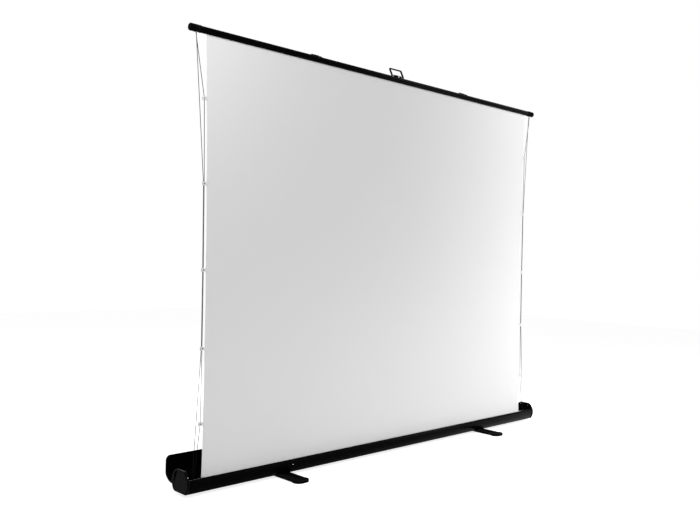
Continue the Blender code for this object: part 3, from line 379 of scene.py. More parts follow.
class Finish:
    """One procedural material on the Object coordinates, and the nodes that it is built from."""

    def __init__(self, name, slot, colour, roughness, metallic=0.0, gloss=0.5, sheen=0.0):
        self.slot = slot
        self.material = bpy.data.materials.new(name)
        self.material.use_nodes = True
        self.tree = self.material.node_tree
        self.shader = self.tree.nodes["Principled BSDF"]
        self.colour = (*colour, 1)
        for socket, value in (("Base Color", self.colour), ("Roughness", roughness),
                              ("Metallic", metallic), ("Specular IOR Level", gloss),
                              ("Sheen Weight", sheen)):
            self.shader.inputs[socket].default_value = value
        self.place = self.add("ShaderNodeTexCoord").outputs["Object"]

    def add(self, kind, settings=None, sockets=None):
        """A node of this kind, its settings set first, then its sockets filled or linked."""
        node = self.tree.nodes.new(kind)
        for name, value in (settings or {}).items():
            setattr(node, name, value)
        for name, value in (sockets or {}).items():
            self.feed(node.inputs[name], value)
        return node

    def feed(self, socket, value):
        if isinstance(value, Level):
            value = value.socket
        if isinstance(value, bpy.types.NodeSocket):
            self.tree.links.new(value, socket)
        else:
            socket.default_value = value

    def frame_of(self, size, turn=(0, 0, 0)):
        """Coordinates in which one unit is this size along each of the turned directions."""
        node = self.add("ShaderNodeMapping", {"vector_type": "TEXTURE"},
                        {"Vector": self.place, "Rotation": turn, "Scale": size})
        return node.outputs[0]

    def noise(self, size, turn=(0, 0, 0), detail=2.0):
        """Cloudy variation whose grains are this size along each direction."""
        size = size if isinstance(size, tuple) else (size, size, size)
        node = self.add("ShaderNodeTexNoise", None, {"Vector": self.frame_of(size, turn),
                                                      "Scale": 1.0, "Detail": detail})
        return Level(self, node.outputs["Fac"])

    def ridges(self, pitch, along, turn=(0, 0, 0)):
        """Even ridges across one direction, this far apart."""
        node = self.add("ShaderNodeTexWave", {"wave_type": "BANDS", "bands_direction": along,
                                              "wave_profile": "SIN"},
                        {"Vector": self.frame_of((pitch, pitch, pitch), turn),
                         "Scale": math.tau / 20, "Distortion": 0.0, "Detail": 0.0})
        return Level(self, node.outputs["Fac"])

    def step(self, level, low, high):
        """0 below the low value, 1 above the high one."""
        node = self.add("ShaderNodeMapRange", {"clamp": True, "interpolation_type": "SMOOTHSTEP"},
                        {"Value": level, "From Min": low, "From Max": high})
        return Level(self, node.outputs["Result"])

    def upward(self):
        """1 on the faces that dust settles on, else 0."""
        normal = self.add("ShaderNodeNewGeometry").outputs["Normal"]
        height = self.add("ShaderNodeSeparateXYZ", None, {"Vector": normal}).outputs["Z"]
        return self.step(Level(self, height), 0.6, 0.95)

    def tint(self, *layers):
        """The base colour, with each further colour laid over it by its own factor."""
        colour = self.colour
        for factor, over in layers:
            node = self.add("ShaderNodeMix", {"data_type": "RGBA"},
                            {"Factor": factor, "A": colour, "B": (*over, 1)})
            colour = node.outputs["Result"]
        self.feed(self.shader.inputs["Base Color"], colour)

    def rough(self, level):
        self.feed(self.shader.inputs["Roughness"], level)

    def bump(self, height, depth):
        """Raise the surface by the height, where 1 stands for this depth."""
        node = self.add("ShaderNodeBump", None,
                        {"Strength": 1.0, "Distance": depth, "Height": height})
        self.feed(self.shader.inputs["Normal"], node.outputs["Normal"])


def extruded_black(name, waves=0.0):
    """Black anodised extrusion: fine lines along it, a little dust on what faces up."""
    finish = Finish(name, "black_aluminium", (0.0008, 0.0008, 0.0010), 0.26, gloss=0.011)
    lines = finish.noise((0.90, 0.0011, 0.0011), detail=3.0)
    patches = finish.noise((0.16, 0.03, 0.03))
    dust = finish.upward() * finish.step(finish.noise(0.0035, detail=4.0), 0.50, 0.75)
    finish.tint((lines * 0.55, (0.0016, 0.0016, 0.0018)), (dust * 0.02, DUST))
    finish.rough(lines * 0.12 + patches * 0.10 + dust * 0.12 + 0.15)
    finish.bump(lines * 0.10 + patches * waves, 0.0002)
    return finish


def moulded(name, slot, colour, lighter, roughness, grain=0.0006, gloss=0.4):
    """Moulded plastic: a fine spark-eroded grain, faint flow marks, a few smoother patches."""
    finish = Finish(name, slot, colour, roughness, gloss=gloss)
    pits = finish.noise(grain, detail=3.0)
    flow = finish.noise((0.05, 0.02, 0.03))
    rubbed = finish.step(finish.noise(0.018), 0.55, 0.72)
    finish.tint((flow * 0.6, lighter), (rubbed * 0.12, tuple(1.6 * part for part in lighter)))
    finish.rough(pits * 0.14 + roughness - 0.07 - rubbed * 0.06)
    finish.bump(pits, 0.00006)
    return finish


def powder_coat():
    """Black powder coat on steel: orange peel, with a few lighter specks."""
    finish = Finish("black_powder_coat", "black_steel", (0.0012, 0.0012, 0.0013), 0.40,
                    gloss=0.025)
    peel = finish.noise(0.0018, detail=1.0)
    specks = finish.step(finish.noise(0.0012, detail=4.0), 0.68, 0.76)
    scuffs = finish.noise((0.02, 0.004, 0.01), turn=(0, 0, 0.6), detail=4.0)
    scuffs = finish.step(scuffs, 0.62, 0.72)
    dust = finish.upward() * finish.step(finish.noise(0.004, detail=4.0), 0.48, 0.75)
    finish.tint((peel * 0.5, (0.0022, 0.0022, 0.0024)), (specks * 0.06, (0.04, 0.04, 0.04)),
                (dust * 0.03, DUST))
    finish.rough(peel * 0.12 + scuffs * 0.10 + dust * 0.15 + 0.30)
    finish.bump(peel, 0.00010)
    return finish


def zinc_plate():
    """Bright zinc plate on steel, with its faint bloom and rolling marks."""
    finish = Finish("zinc_plated_steel", "bright_steel", (0.60, 0.60, 0.62), 0.26, metallic=1.0)
    bloom = finish.noise(0.007, detail=3.0)
    marks = finish.noise((0.012, 0.0005, 0.0005), detail=2.0)
    finish.tint((bloom * 0.6, (0.50, 0.50, 0.50)),
                (finish.step(bloom, 0.6, 0.8) * 0.3, (0.66, 0.65, 0.60)))
    finish.rough(bloom * 0.16 + marks * 0.10 + 0.12)
    finish.bump(marks, 0.00002)
    return finish


def brushed_aluminium(name, turn=(0, 0, 0)):
    """Clear anodised aluminium, with drawing lines along the piece."""
    finish = Finish(name, "bare_aluminium", (0.56, 0.57, 0.59), 0.34, metallic=1.0)
    lines = finish.noise((0.35, 0.0006, 0.0006), turn, detail=3.0)
    cloud = finish.noise((0.12, 0.02, 0.02), turn)
    scratch = finish.step(finish.noise((0.03, 0.0012, 0.0012), turn, detail=4.0), 0.70, 0.76)
    finish.tint((lines * 0.5, (0.48, 0.49, 0.51)), (scratch * 0.3, (0.74, 0.74, 0.75)))
    finish.rough(lines * 0.16 + cloud * 0.12 + 0.20 - scratch * 0.05)
    finish.bump(lines, 0.00003)
    return finish


def screen_cloth(name, colour, depth=0.00005):
    """Matt white screen cloth: a fine calendered grain over its weave, nearly even in tone."""
    finish = Finish(name, "white_fabric", colour, 0.88, gloss=0.18, sheen=0.05)
    warp = finish.ridges(0.0008, "X")
    weft = finish.ridges(0.0008, "Z")
    grain = finish.noise(0.0009, detail=2.0)
    shade = finish.noise((0.5, 0.5, 0.35))
    finish.tint((shade * 0.35, tuple(0.975 * part for part in colour)),
                (grain * 0.20, tuple(0.94 * part for part in colour)))
    finish.rough(grain * 0.08 + 0.84)
    finish.bump(warp * 0.3 + weft * 0.3 + grain * 0.6, depth)
    return finish


def clip_plastic():
    """White clip plastic, slightly waxy."""
    return moulded("white_clip_plastic", "white_plastic", (0.78, 0.78, 0.77), (0.72, 0.72, 0.70),
                   0.42, grain=0.0009)


def grey_end_plastic():
    """Dark grey plastic of the end caps and the feet's ends."""
    return moulded("grey_end_plastic", "grey_plastic", (0.0013, 0.0013, 0.0014),
                   (0.0022, 0.0022, 0.0024), 0.42, gloss=0.018)


def black_plastic():
    """Black plastic of the small moulded parts."""
    return moulded("black_moulded_plastic", "black_plastic", (0.0007, 0.0007, 0.0008),
                   (0.0012, 0.0012, 0.0014), 0.36, gloss=0.012)


def twisted_cord():
    """Grey elastic cord: two dark and pale yarns laid round it, read from its own UV map."""
    finish = Finish("grey_elastic_cord", "grey_cord", (0.005, 0.005, 0.0055), 0.82, gloss=0.03)
    uv = finish.add("ShaderNodeTexCoord").outputs["UV"]
    parts = finish.add("ShaderNodeSeparateXYZ", None, {"Vector": uv})
    lay = Level(finish, parts.outputs["X"]) * 420.0 + Level(finish, parts.outputs["Y"]) * 2.0
    wave = finish.add("ShaderNodeMath", {"operation": "PINGPONG"}, {0: lay, 1: 0.5})
    yarn = Level(finish, wave.outputs[0]) * 2.0
    fuzz = finish.noise(0.0006, detail=3.0)
    finish.tint((yarn * 0.5, (0.010, 0.010, 0.011)), (fuzz * 0.3, (0.004, 0.004, 0.004)))
    finish.rough(fuzz * 0.12 + 0.76)
    finish.bump(yarn * 0.7 + fuzz * 0.3, 0.00010)
    return finish


def pad_rubber():
    """Black rubber, dull and lightly dusty."""
    finish = Finish("black_pad_rubber", "black_rubber", (0.006, 0.006, 0.006), 0.85, gloss=0.12)
    grain = finish.noise(0.0008, detail=3.0)
    bloom = finish.step(finish.noise(0.008, detail=3.0), 0.45, 0.75)
    finish.tint((bloom * 0.3, (0.014, 0.014, 0.0135)))
    finish.rough(grain * 0.10 + bloom * 0.05 + 0.78)
    finish.bump(grain, 0.00008)
    return finish


# ---------------------------------------------------------------- modelling

def object_mode():
    if bpy.context.object and bpy.context.object.mode != "OBJECT":
        bpy.ops.object.mode_set(mode="OBJECT")


def only(*pieces):
    """Select these pieces alone, the first of them active."""
    object_mode()
    bpy.ops.object.select_all(action="DESELECT")
    for piece in pieces:
        piece.select_set(True)
    bpy.context.view_layer.objects.active = pieces[0]


def named(name):
    """The piece that was just added, named, with its place applied to its mesh."""
    bpy.ops.object.transform_apply(location=True, rotation=True, scale=True)
    piece = bpy.context.object
    piece.name = name
    piece.data.name = name
    return piece


def block(name, low, high):
    """A block between two corners, to be shaped further."""
    object_mode()
    bpy.ops.object.select_all(action="DESELECT")
    low, high = Vector(low), Vector(high)
    bpy.ops.mesh.primitive_cube_add(size=1, location=(low + high) / 2, scale=high - low)
    return named(name)


def pick(piece, kind, test):
    """Select in edit mode what passes the test of its middle and its normal or direction."""
    only(piece)
    bpy.ops.object.mode_set(mode="EDIT")
    bpy.ops.mesh.select_mode(type=kind)
    bpy.ops.mesh.select_all(action="DESELECT")
    bpy.ops.object.mode_set(mode="OBJECT")
    mesh = piece.data
    if kind == "FACE":
        for face in mesh.polygons:
            face.select = test(face.center, face.normal)
    else:
        for edge in mesh.edges:
            start, end = (mesh.vertices[corner].co for corner in edge.vertices)
            edge.select = test((start + end) / 2, (end - start).normalized())
    bpy.ops.object.mode_set(mode="EDIT")


def round_edges(piece, width, segments, test):
    """Round the edges that pass the test of their middle and their direction."""
    pick(piece, "EDGE", test)
    bpy.ops.mesh.bevel(offset=width, segments=segments, affect="EDGES")


def sink_face(piece, border, slope, depth, test):
    """Sink the face that passes the test, inside an even border and a short slope."""
    pick(piece, "FACE", test)
    bpy.ops.mesh.inset(thickness=border)
    bpy.ops.mesh.inset(thickness=slope, depth=-depth)


def all_of_it():
    bpy.ops.mesh.select_all(action="SELECT")


def tidy_shell():
    """Close the seams and turn every face outwards."""
    all_of_it()
    bpy.ops.mesh.remove_doubles(threshold=MERGE_DISTANCE)
    bpy.ops.mesh.normals_make_consistent(inside=False)


def drawn_line(name, points):
    """A line pulled out point by point from a tiny plane that is merged to its middle."""
    object_mode()
    bpy.ops.object.select_all(action="DESELECT")
    bpy.ops.mesh.primitive_plane_add(size=0.0001, location=points[0])
    piece = named(name)
    bpy.ops.object.mode_set(mode="EDIT")
    bpy.ops.mesh.select_mode(type="VERT")
    all_of_it()
    bpy.ops.mesh.merge(type="CENTER")
    for before, after in zip(points, points[1:]):
        step = Vector(after) - Vector(before)
        bpy.ops.mesh.extrude_region_move(TRANSFORM_OT_translate={"value": step})
    return piece


def extruded(name, outline, run):
    """A solid of the closed outline, pulled along the run."""
    piece = drawn_line(name, outline)
    all_of_it()
    bpy.ops.mesh.edge_face_add()
    all_of_it()
    bpy.ops.mesh.extrude_region_move(TRANSFORM_OT_translate={"value": run})
    tidy_shell()
    return piece


def section(name, outline, low, high):
    """An extrusion of the (y, z) outline from one X to another."""
    return extruded(name, [(low, y, z) for y, z in outline], (high - low, 0, 0))


def turned(name, profile, centre, axis, steps=48, closed=False):
    """A turned piece. The profile is (place along the axis, radius), round the centre."""
    axis, centre = Vector(axis), Vector(centre)
    aside = Vector((0, 0, 1)) if abs(axis.z) < 0.5 else Vector((1, 0, 0))
    points = [centre + axis * along + aside * radius for along, radius in profile]
    piece = drawn_line(name, points + points[:1] if closed else points)
    all_of_it()
    bpy.ops.mesh.remove_doubles(threshold=MERGE_DISTANCE)
    all_of_it()
    bpy.ops.mesh.spin(steps=steps, angle=math.tau, center=centre, axis=axis)
    tidy_shell()
    return piece


def soften(piece, width, segments=2, angle=35):
    """Round every edge that is sharper than the angle."""
    only(piece)
    edge = piece.modifiers.new("edge", "BEVEL")
    edge.width = width
    edge.segments = segments
    edge.limit_method = "ANGLE"
    edge.angle_limit = math.radians(angle)
    bpy.ops.object.modifier_apply(modifier=edge.name)
    return piece


def cut(piece, *tools, operation="DIFFERENCE"):
    """Cut the tools out of a piece, or join them to it, and remove them."""
    for tool in tools:
        only(piece)
        work = piece.modifiers.new("work", "BOOLEAN")
        work.operation = operation
        work.solver = "EXACT"
        work.object = tool
        bpy.ops.object.modifier_apply(modifier=work.name)
        bpy.data.objects.remove(tool)
    return piece


def rod(name, centre, axis, radius, length, steps=24):
    """A plain round bar, as a drill or to be shaped further."""
    half = length / 2
    profile = [(-half, 0), (-half, radius), (half, radius), (half, 0)]
    return turned(name, profile, centre, axis, steps)


def copied(piece, name, shift=(0, 0, 0), mirror=(1, 1, 1), centre=(0, 0, 0)):
    """A copy with its own mesh, mirrored through the centre and moved."""
    only(piece)
    bpy.ops.object.duplicate()
    copy = bpy.context.object
    bpy.ops.transform.resize(value=mirror, center_override=centre)
    bpy.ops.transform.translate(value=shift)
    copy = named(name)
    if mirror[0] * mirror[1] * mirror[2] < 0:
        bpy.ops.object.mode_set(mode="EDIT")
        all_of_it()
        bpy.ops.mesh.normals_make_consistent(inside=False)
        object_mode()
    return copy


def mirrored(piece, stem):
    """The right-hand piece and its mirror image for the left, by side."""
    return {"right": piece, "left": copied(piece, f"{stem}_left", mirror=(-1, 1, 1))}


def joined(name, pieces):
    """Several shells as one piece."""
    only(*pieces)
    if len(pieces) > 1:
        bpy.ops.object.join()
    return named(name)


def fitted(piece, body, finish, *nodes, smooth=35):
    """Finish a piece: smooth its round faces, give it its material, its body and its nodes."""
    only(piece)
    bpy.ops.object.shade_smooth_by_angle(angle=math.radians(smooth))
    piece.data.materials.clear()
    piece.data.materials.append(finish.material)
    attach(piece, body)
    if nodes:
        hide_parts(*nodes)
    return piece


def arc(centre, radius, start, end, steps):
    """Points of an arc from one angle to another, in degrees, as pairs."""
    angles = [math.radians(start + (end - start) * step / steps) for step in range(steps + 1)]
    return [(centre[0] + radius * math.cos(a), centre[1] + radius * math.sin(a)) for a in angles]


def dome(height, radius, steps=6):
    """A domed head from its crown to its rim, as (place along the axis, radius)."""
    return [(height * math.cos(a), radius * math.sin(a))
            for a in np.linspace(0, math.pi / 2, steps)]


def inner_line(points, wall):
    """The open line moved sideways by the wall, its corners mitred."""
    moved = []
    for index, point in enumerate(points):
        before, here = Vector(points[max(index - 1, 0)]), Vector(point)
        after = Vector(points[min(index + 1, len(points) - 1)])
        runs = [run.normalized() for run in (here - before, after - here) if run.length > 0]
        sides = [Vector((-run.y, run.x)) for run in runs]
        total = sum(sides[1:], sides[0])
        mitre = total * wall * len(sides) / total.length_squared
        moved.append(tuple(here + mitre))
    return moved


# ---------------------------------------------------------------- case and lid

def side_y(level, inset=0.0):
    """Half depth of the case's bulged side at a level."""
    bulge = math.sqrt(SIDE_RADIUS ** 2 - (level - WAIST_LEVEL) ** 2)
    return CASE_DEPTH / 2 - SIDE_RADIUS + bulge - inset


def front_outward(level):
    """The direction in which the bulged front faces at a level."""
    slope = math.atan2(level - WAIST_LEVEL, SIDE_RADIUS)
    return Vector((0, -math.cos(slope), math.sin(slope)))


def hinge_place():
    """The axis of the lid's hinge, as (y, z)."""
    return side_y(HINGE_LEVEL), CASE_BOTTOM + HINGE_LEVEL


def side_line(low, high, inset=0.0, steps=18):
    """Points up the bulged rear side, as (y, level)."""
    levels = [low + (high - low) * step / steps for step in range(steps + 1)]
    return [(side_y(level, inset), level) for level in levels]


def eased_corner(start, corner, end, steps=6):
    """Points that ease round a corner, from the start to the end."""
    start, corner, end = Vector(start), Vector(corner), Vector(end)
    shares = [step / steps for step in range(steps + 1)]
    return [tuple(start * (1 - t) ** 2 + corner * 2 * t * (1 - t) + end * t ** 2) for t in shares]


def footed_side(foot, high, inset=0.0, steps=18):
    """Points up the bulged rear side from its rounded bottom corner, as (y, level)."""
    low = side_y(0, inset)
    corner = eased_corner((low - foot, 0), (low, 0), (side_y(foot, inset), foot))
    return corner[:-1] + side_line(foot, high, inset, steps)


def closed_side(foot, corner, inset=0.0):
    """The rear half of the closed section, from its bottom corner to the middle of its top."""
    top = CASE_HEIGHT - inset
    edge, flat = (side_y(top - corner, inset), top - corner), side_y(top, inset)
    rounding = eased_corner(edge, (flat, top), (flat - corner / 2, top))
    return footed_side(foot, edge[1], inset)[:-1] + rounding


def closed_section(rear, front, inset=0.0):
    """The closed section of the case, counterclockwise from the rear foot, as (y, level) points.

    The rear and the front each say how much their bottom and their top corner are rounded.
    """
    front_side = [(-y, level) for y, level in reversed(closed_side(*front, inset))]
    return closed_side(*rear, inset) + front_side


def raised(points):
    """(y, level) points as (y, z)."""
    return [(y, level + CASE_BOTTOM) for y, level in points]


def opened(points):
    """Closed (y, level) points as (y, z) with the lid swung back by a right angle."""
    axis_y, axis_z = hinge_place()
    return [(axis_y + level - HINGE_LEVEL, axis_z - (y - axis_y)) for y, level in points]


def make_trough(black):
    """The lower extrusion, with a hooked ledge along its front rim."""
    front_top = -side_y(FRONT_RIM, SKIN_INSET)
    line = [(front_top + RIM_LEDGE, FRONT_RIM - RIM_LIP), (front_top + RIM_LEDGE, FRONT_RIM)]
    line += [(-y, level) for y, level in reversed(footed_side(TROUGH_FOOT, FRONT_RIM, SKIN_INSET))]
    line += footed_side(TROUGH_FOOT, REAR_RIM, SKIN_INSET, 8)
    line = raised(line)
    end = INNER_END - GAP
    trough = section("trough", line + inner_line(line, WALL)[::-1], -end, end)
    cut(trough, *[rod("drill", (side * FOOT_X, 0, CASE_BOTTOM), (0, 0, 1), FOOT_BOLT_HOLE, 0.02)
                  for side, _ in SIDES])
    soften(trough, 0.0004)
    fitted(trough, "case", black, "case_trough")

    wall_y = side_y(REAR_RIM, SKIN_INSET) - WALL / 2
    low, high = CASE_BOTTOM + REAR_RIM - KNUCKLE_WEB, hinge_place()[1] - (HINGE_ROD + KNUCKLE) / 2
    fitted(knuckle_row("trough_knuckles", True,
                       (wall_y - WALL / 2, low), (wall_y + WALL / 2, high)), "case", black)


def knuckle_row(name, first, low, high):
    """Every second hinge knuckle, each with the web from it to its wall."""
    half, edge = KNUCKLE_LENGTH / 2, KNUCKLE_EDGE
    ring = [(-half, HINGE_ROD + GAP), (-half, KNUCKLE - edge), (-half + edge, KNUCKLE),
            (half - edge, KNUCKLE), (half, KNUCKLE - edge), (half, HINGE_ROD + GAP)]
    spacing = INNER_END * 2 / (KNUCKLE_PAIRS + 1)
    shift = (KNUCKLE_LENGTH + KNUCKLE_GAP) * (-0.5 if first else 0.5)
    places = [(step - (KNUCKLE_PAIRS - 1) / 2) * spacing + shift for step in range(KNUCKLE_PAIRS)]
    barrel = turned("knuckle", ring, (places[0], *hinge_place()), (1, 0, 0), 32, closed=True)
    web = block("web", (places[0] - half + GAP, *low), (places[0] + half - GAP, *high))
    cut(barrel, web, operation="UNION")
    row = [barrel] + [copied(barrel, "knuckle", (place - places[0], 0, 0)) for place in places[1:]]
    return joined(name, row)


def cross_screw(name, centre, axis, head=0.0034, height=0.0006):
    """A flat-domed screw head with a cross recess, facing along the axis."""
    crown = [(along * height, radius * head) for radius, along in arc((0, 0), 1, 90, 0, 6)]
    screw = turned(name, crown + [(-0.0012, head * 0.8), (-0.0012, 0)], centre, axis, 28)
    axis = Vector(axis)
    for direction in ((1, 0, 0), (0, 1, 0), (0, 0, 1)):
        across = Vector(direction)
        if abs(across.dot(axis)) > 0.5:
            continue
        along = axis.cross(across)
        size = Vector([abs(part) for part in across * head * 1.15 + along * 0.0009 + axis * 0.0016])
        middle = Vector(centre) + axis * height
        cut(screw, block("cross", middle - size / 2, middle + size / 2))
    return screw


def screw_row(name, places, axis, head=0.0034, height=0.0006):
    """Several equal cross screws that face the same way, as one piece."""
    return joined(name, [cross_screw("screw", place, axis, head, height) for place in places])


def front_stud(name, x, level, inset, height, radius):
    """A small domed head on the bulged front, which stands this far inside the closed section."""
    return turned(name, dome(height, radius) + [(-0.0008, 0.0012), (-0.0008, 0)],
                  (x, -side_y(level, inset), CASE_BOTTOM + level), front_outward(level), 20)


def make_end_caps(grey, powder, steel):
    """The deep moulded cap at each end: soft rim, sunk face, dark screws, a bright stud."""
    cap = section("end_cap_right", raised(closed_section(*CAP_CORNERS)), INNER_END, CASE_END)
    round_edges(cap, 0.0028, 5, lambda middle, run: middle.x > CASE_END - GAP)
    sink_face(cap, 0.0030, 0.0006, CAP_PANEL_SINK,
              lambda middle, normal: normal.x > 0.99 and middle.x > CASE_END - GAP)
    round_edges(cap, 0.0006, 2, lambda middle, run: middle.x < INNER_END + GAP)
    caps = mirrored(cap, "end_cap")
    for side, word in SIDES:
        fitted(caps[word], "case", grey, f"case_end_{word}")
        panel = side * (CASE_END - CAP_PANEL_SINK)
        places = [(panel, y, CASE_BOTTOM + level) for y, level in CAP_SCREWS]
        fitted(screw_row(f"end_cap_screws_{word}", places, (side, 0, 0)), "case", powder)
        stud_x = side * (INNER_END + LID_STUD_INSET)
        fitted(front_stud(f"lid_stud_{word}", stud_x, LID_STUD_LEVEL, 0.0, 0.0009, 0.0019),
               "case", steel)
        fitted(inner_fixings(side, word), "case", steel)


def inner_fixings(side, word):
    """The bright spring catch and the two screw heads on the inner face of an end cap."""
    face = side * (INNER_END - GAP)
    low, high = sorted((face, face - side * CATCH_THICKNESS))
    catch = block("catch", (low, *CATCH_LOW), (high, *CATCH_HIGH))
    round_edges(catch, 0.0012, 4, lambda middle, run: abs(run.x) > 0.9)
    heads = [cross_screw("screw", (face, y, z), (-side, 0, 0), 0.0026, 0.0010)
             for y, z in INNER_SCREWS]
    return joined(f"inner_fixings_{word}", [soften(catch, 0.0004)] + heads)


def lid_line():
    """The lid's outer skin when closed: hinge side, back, top, front, and the lip on its rim."""
    start = HINGE_LEVEL + KNUCKLE + RUNNING_GAP
    low_front = FRONT_RIM + LID_RIM_GAP
    corners = (TROUGH_FOOT, LID_CORNER)
    whole = closed_section(corners, corners, SKIN_INSET)
    points = [(side_y(start, SKIN_INSET), start)]
    points += [(y, z) for y, z in whole if (y > 0 and z > start) or (y <= 0 and z > low_front)]
    return points + [(-side_y(low_front, SKIN_INSET), low_front)]


def make_lid(black, plastic, rubber, steel):
    """The lid, its end trims, its screws, its hinge knuckles and the rubber buffers inside."""
    end = INNER_END - LID_END_GAP - LID_TRIM - GAP
    line = lid_line()
    lipped = line + [(line[-1][0] + LID_LIP, line[-1][1])]
    lid = section("lid", opened(lipped + inner_line(lipped, WALL)[::-1]), -end, end)
    fitted(soften(lid, 0.0004), "lid", black, "lid_shell")

    band = opened(line + inner_line(line, LID_TRIM_DEPTH)[::-1])
    for side, word in SIDES:
        low, high = sorted((side * (end + GAP), side * (end + GAP + LID_TRIM)))
        trim = section(f"lid_trim_{word}", band, low, high)
        fitted(soften(trim, 0.0005), "lid", plastic, f"lid_end_{word}")
    inside = CASE_HEIGHT - SKIN_INSET - WALL
    for side, word in SIDES:
        x = side * (end - LID_SCREW_INSET)
        places = [(x, *place) for place in opened([(y, inside) for y in LID_SCREWS_Y])]
        fitted(screw_row(f"lid_screws_{word}", places, (0, -1, 0), 0.0026, 0.0008), "lid", steel)

    hinge_y = hinge_place()[0]
    start_z = opened([(side_y(HINGE_LEVEL + KNUCKLE, SKIN_INSET), 0)])[0][1]
    low = (hinge_y + (HINGE_ROD + KNUCKLE) / 2, start_z)
    high = (hinge_y + KNUCKLE + RUNNING_GAP + KNUCKLE_WEB, start_z + WALL * 0.8)
    fitted(knuckle_row("lid_knuckles", False, low, high), "lid", black)

    place, = opened([(BUFFER_Y, inside)])
    profile = dome(0.0030, 0.0055, 8) + [(-0.0006, 0.0055), (-0.0006, 0)]
    first = turned("buffer", profile, (BUFFERS_X[0], *place), (0, -1, 0), 32)
    row = [first] + [copied(first, "buffer", (x - BUFFERS_X[0], 0, 0)) for x in BUFFERS_X[1:]]
    fitted(joined("lid_buffers", row), "lid", rubber)


def make_front_rivets(steel, powder):
    """The pair of rivet heads on the front wall beside each foot: one bare, the others painted."""
    heads = [front_stud("rivet", side * FOOT_X - side * inward, FRONT_RIVET_LEVEL, SKIN_INSET,
                        0.0008, 0.0018)
             for side, _ in SIDES for inward in FRONT_RIVETS_INWARD]
    bare = heads.pop(1)
    fitted(joined("front_rivet_bare", [bare]), "case", steel)
    fitted(joined("front_rivets_painted", heads), "case", powder)


# ---------------------------------------------------------------- feet

def make_foot_end():
    """The moulded end of the left foot's front, slipped over the plate, with room for its pad."""
    half = FOOT_HALF[0] + FOOT_END_WALL
    end = block("foot_end", (-FOOT_X - half, -FOOT_HALF[1], FOOT_END_LOW),
                (-FOOT_X + half, FOOT_END_LENGTH - FOOT_HALF[1], FOOT_END_HIGH))
    round_edges(end, FOOT_END_CORNER, 12,
                lambda middle, run: abs(run.z) > 0.9 and middle.y < -PAD_Y)
    round_edges(end, 0.0014, 4,
                lambda middle, run: abs(run.z) < 0.1 and middle.z > FOOT_END_HIGH - GAP)
    round_edges(end, 0.0006, 2, lambda middle, run: middle.z < FOOT_END_LOW + GAP)
    sink_face(end, 0.0045, 0.0006, 0.0004,
              lambda middle, normal: normal.z > 0.999 and middle.z > FOOT_END_HIGH - GAP)
    hole = rod("drill", (-FOOT_X, -PAD_Y, 0), (0, 0, 1), PAD_RADIUS + GAP, 2 * FOOT_LOW, 40)
    return cut(end, hole)


def make_feet(powder, rubber, grey):
    """The flat swivel feet: a shallow pressing on top, a moulded end and a pad at each tip."""
    foot = block("foot_plate_left", (-FOOT_X - FOOT_HALF[0], -FOOT_HALF[1], FOOT_LOW),
                 (-FOOT_X + FOOT_HALF[0], FOOT_HALF[1], FOOT_HIGH))
    round_edges(foot, FOOT_CORNER, 14, lambda middle, run: abs(run.z) > 0.9)
    round_edges(foot, 0.0012, 3, lambda middle, run: middle.z > FOOT_HIGH - GAP)
    round_edges(foot, 0.0010, 2, lambda middle, run: middle.z < FOOT_LOW + GAP)
    sink_face(foot, 0.0070, 0.0012, 0.0007,
              lambda middle, normal: normal.z > 0.999 and middle.z > FOOT_HIGH - GAP)
    cut(foot, rod("drill", (-FOOT_X, 0, FOOT_LOW), (0, 0, 1), FOOT_BOLT_HOLE, 0.03))
    feet = {"left": foot, "right": copied(foot, "foot_plate_right", mirror=(-1, 1, 1))}
    rim = [(0, 0), (0, 0.004), (0.0006, 0.0045), (0.0006, 0.0065), (0, 0.007), (0, 0.0105),
           (0.0004, 0.0116), (0.0012, PAD_RADIUS), (PAD_THICKNESS, PAD_RADIUS), (PAD_THICKNESS, 0)]
    pad = turned("pad_left_front", rim, (-FOOT_X, -PAD_Y, 0), (0, 0, 1), 40)
    first_end = make_foot_end()
    for side, word in SIDES:
        fitted(feet[word], f"foot_{word}", powder, f"foot_{word}")
        for end, where in ((-1, "front"), (1, "rear")):
            shift = ((side + 1) * FOOT_X, (end + 1) * PAD_Y, 0)
            one = pad if (side, end) == (-1, -1) else copied(pad, f"pad_{word}_{where}", shift)
            fitted(one, f"foot_{word}", rubber, f"foot_pad_{word}_{where}")
            tip = copied(first_end, f"foot_end_{word}_{where}", mirror=(-side, -end, 1))
            fitted(tip, f"foot_{word}", grey)
    bpy.data.objects.remove(first_end)


# ---------------------------------------------------------------- roller

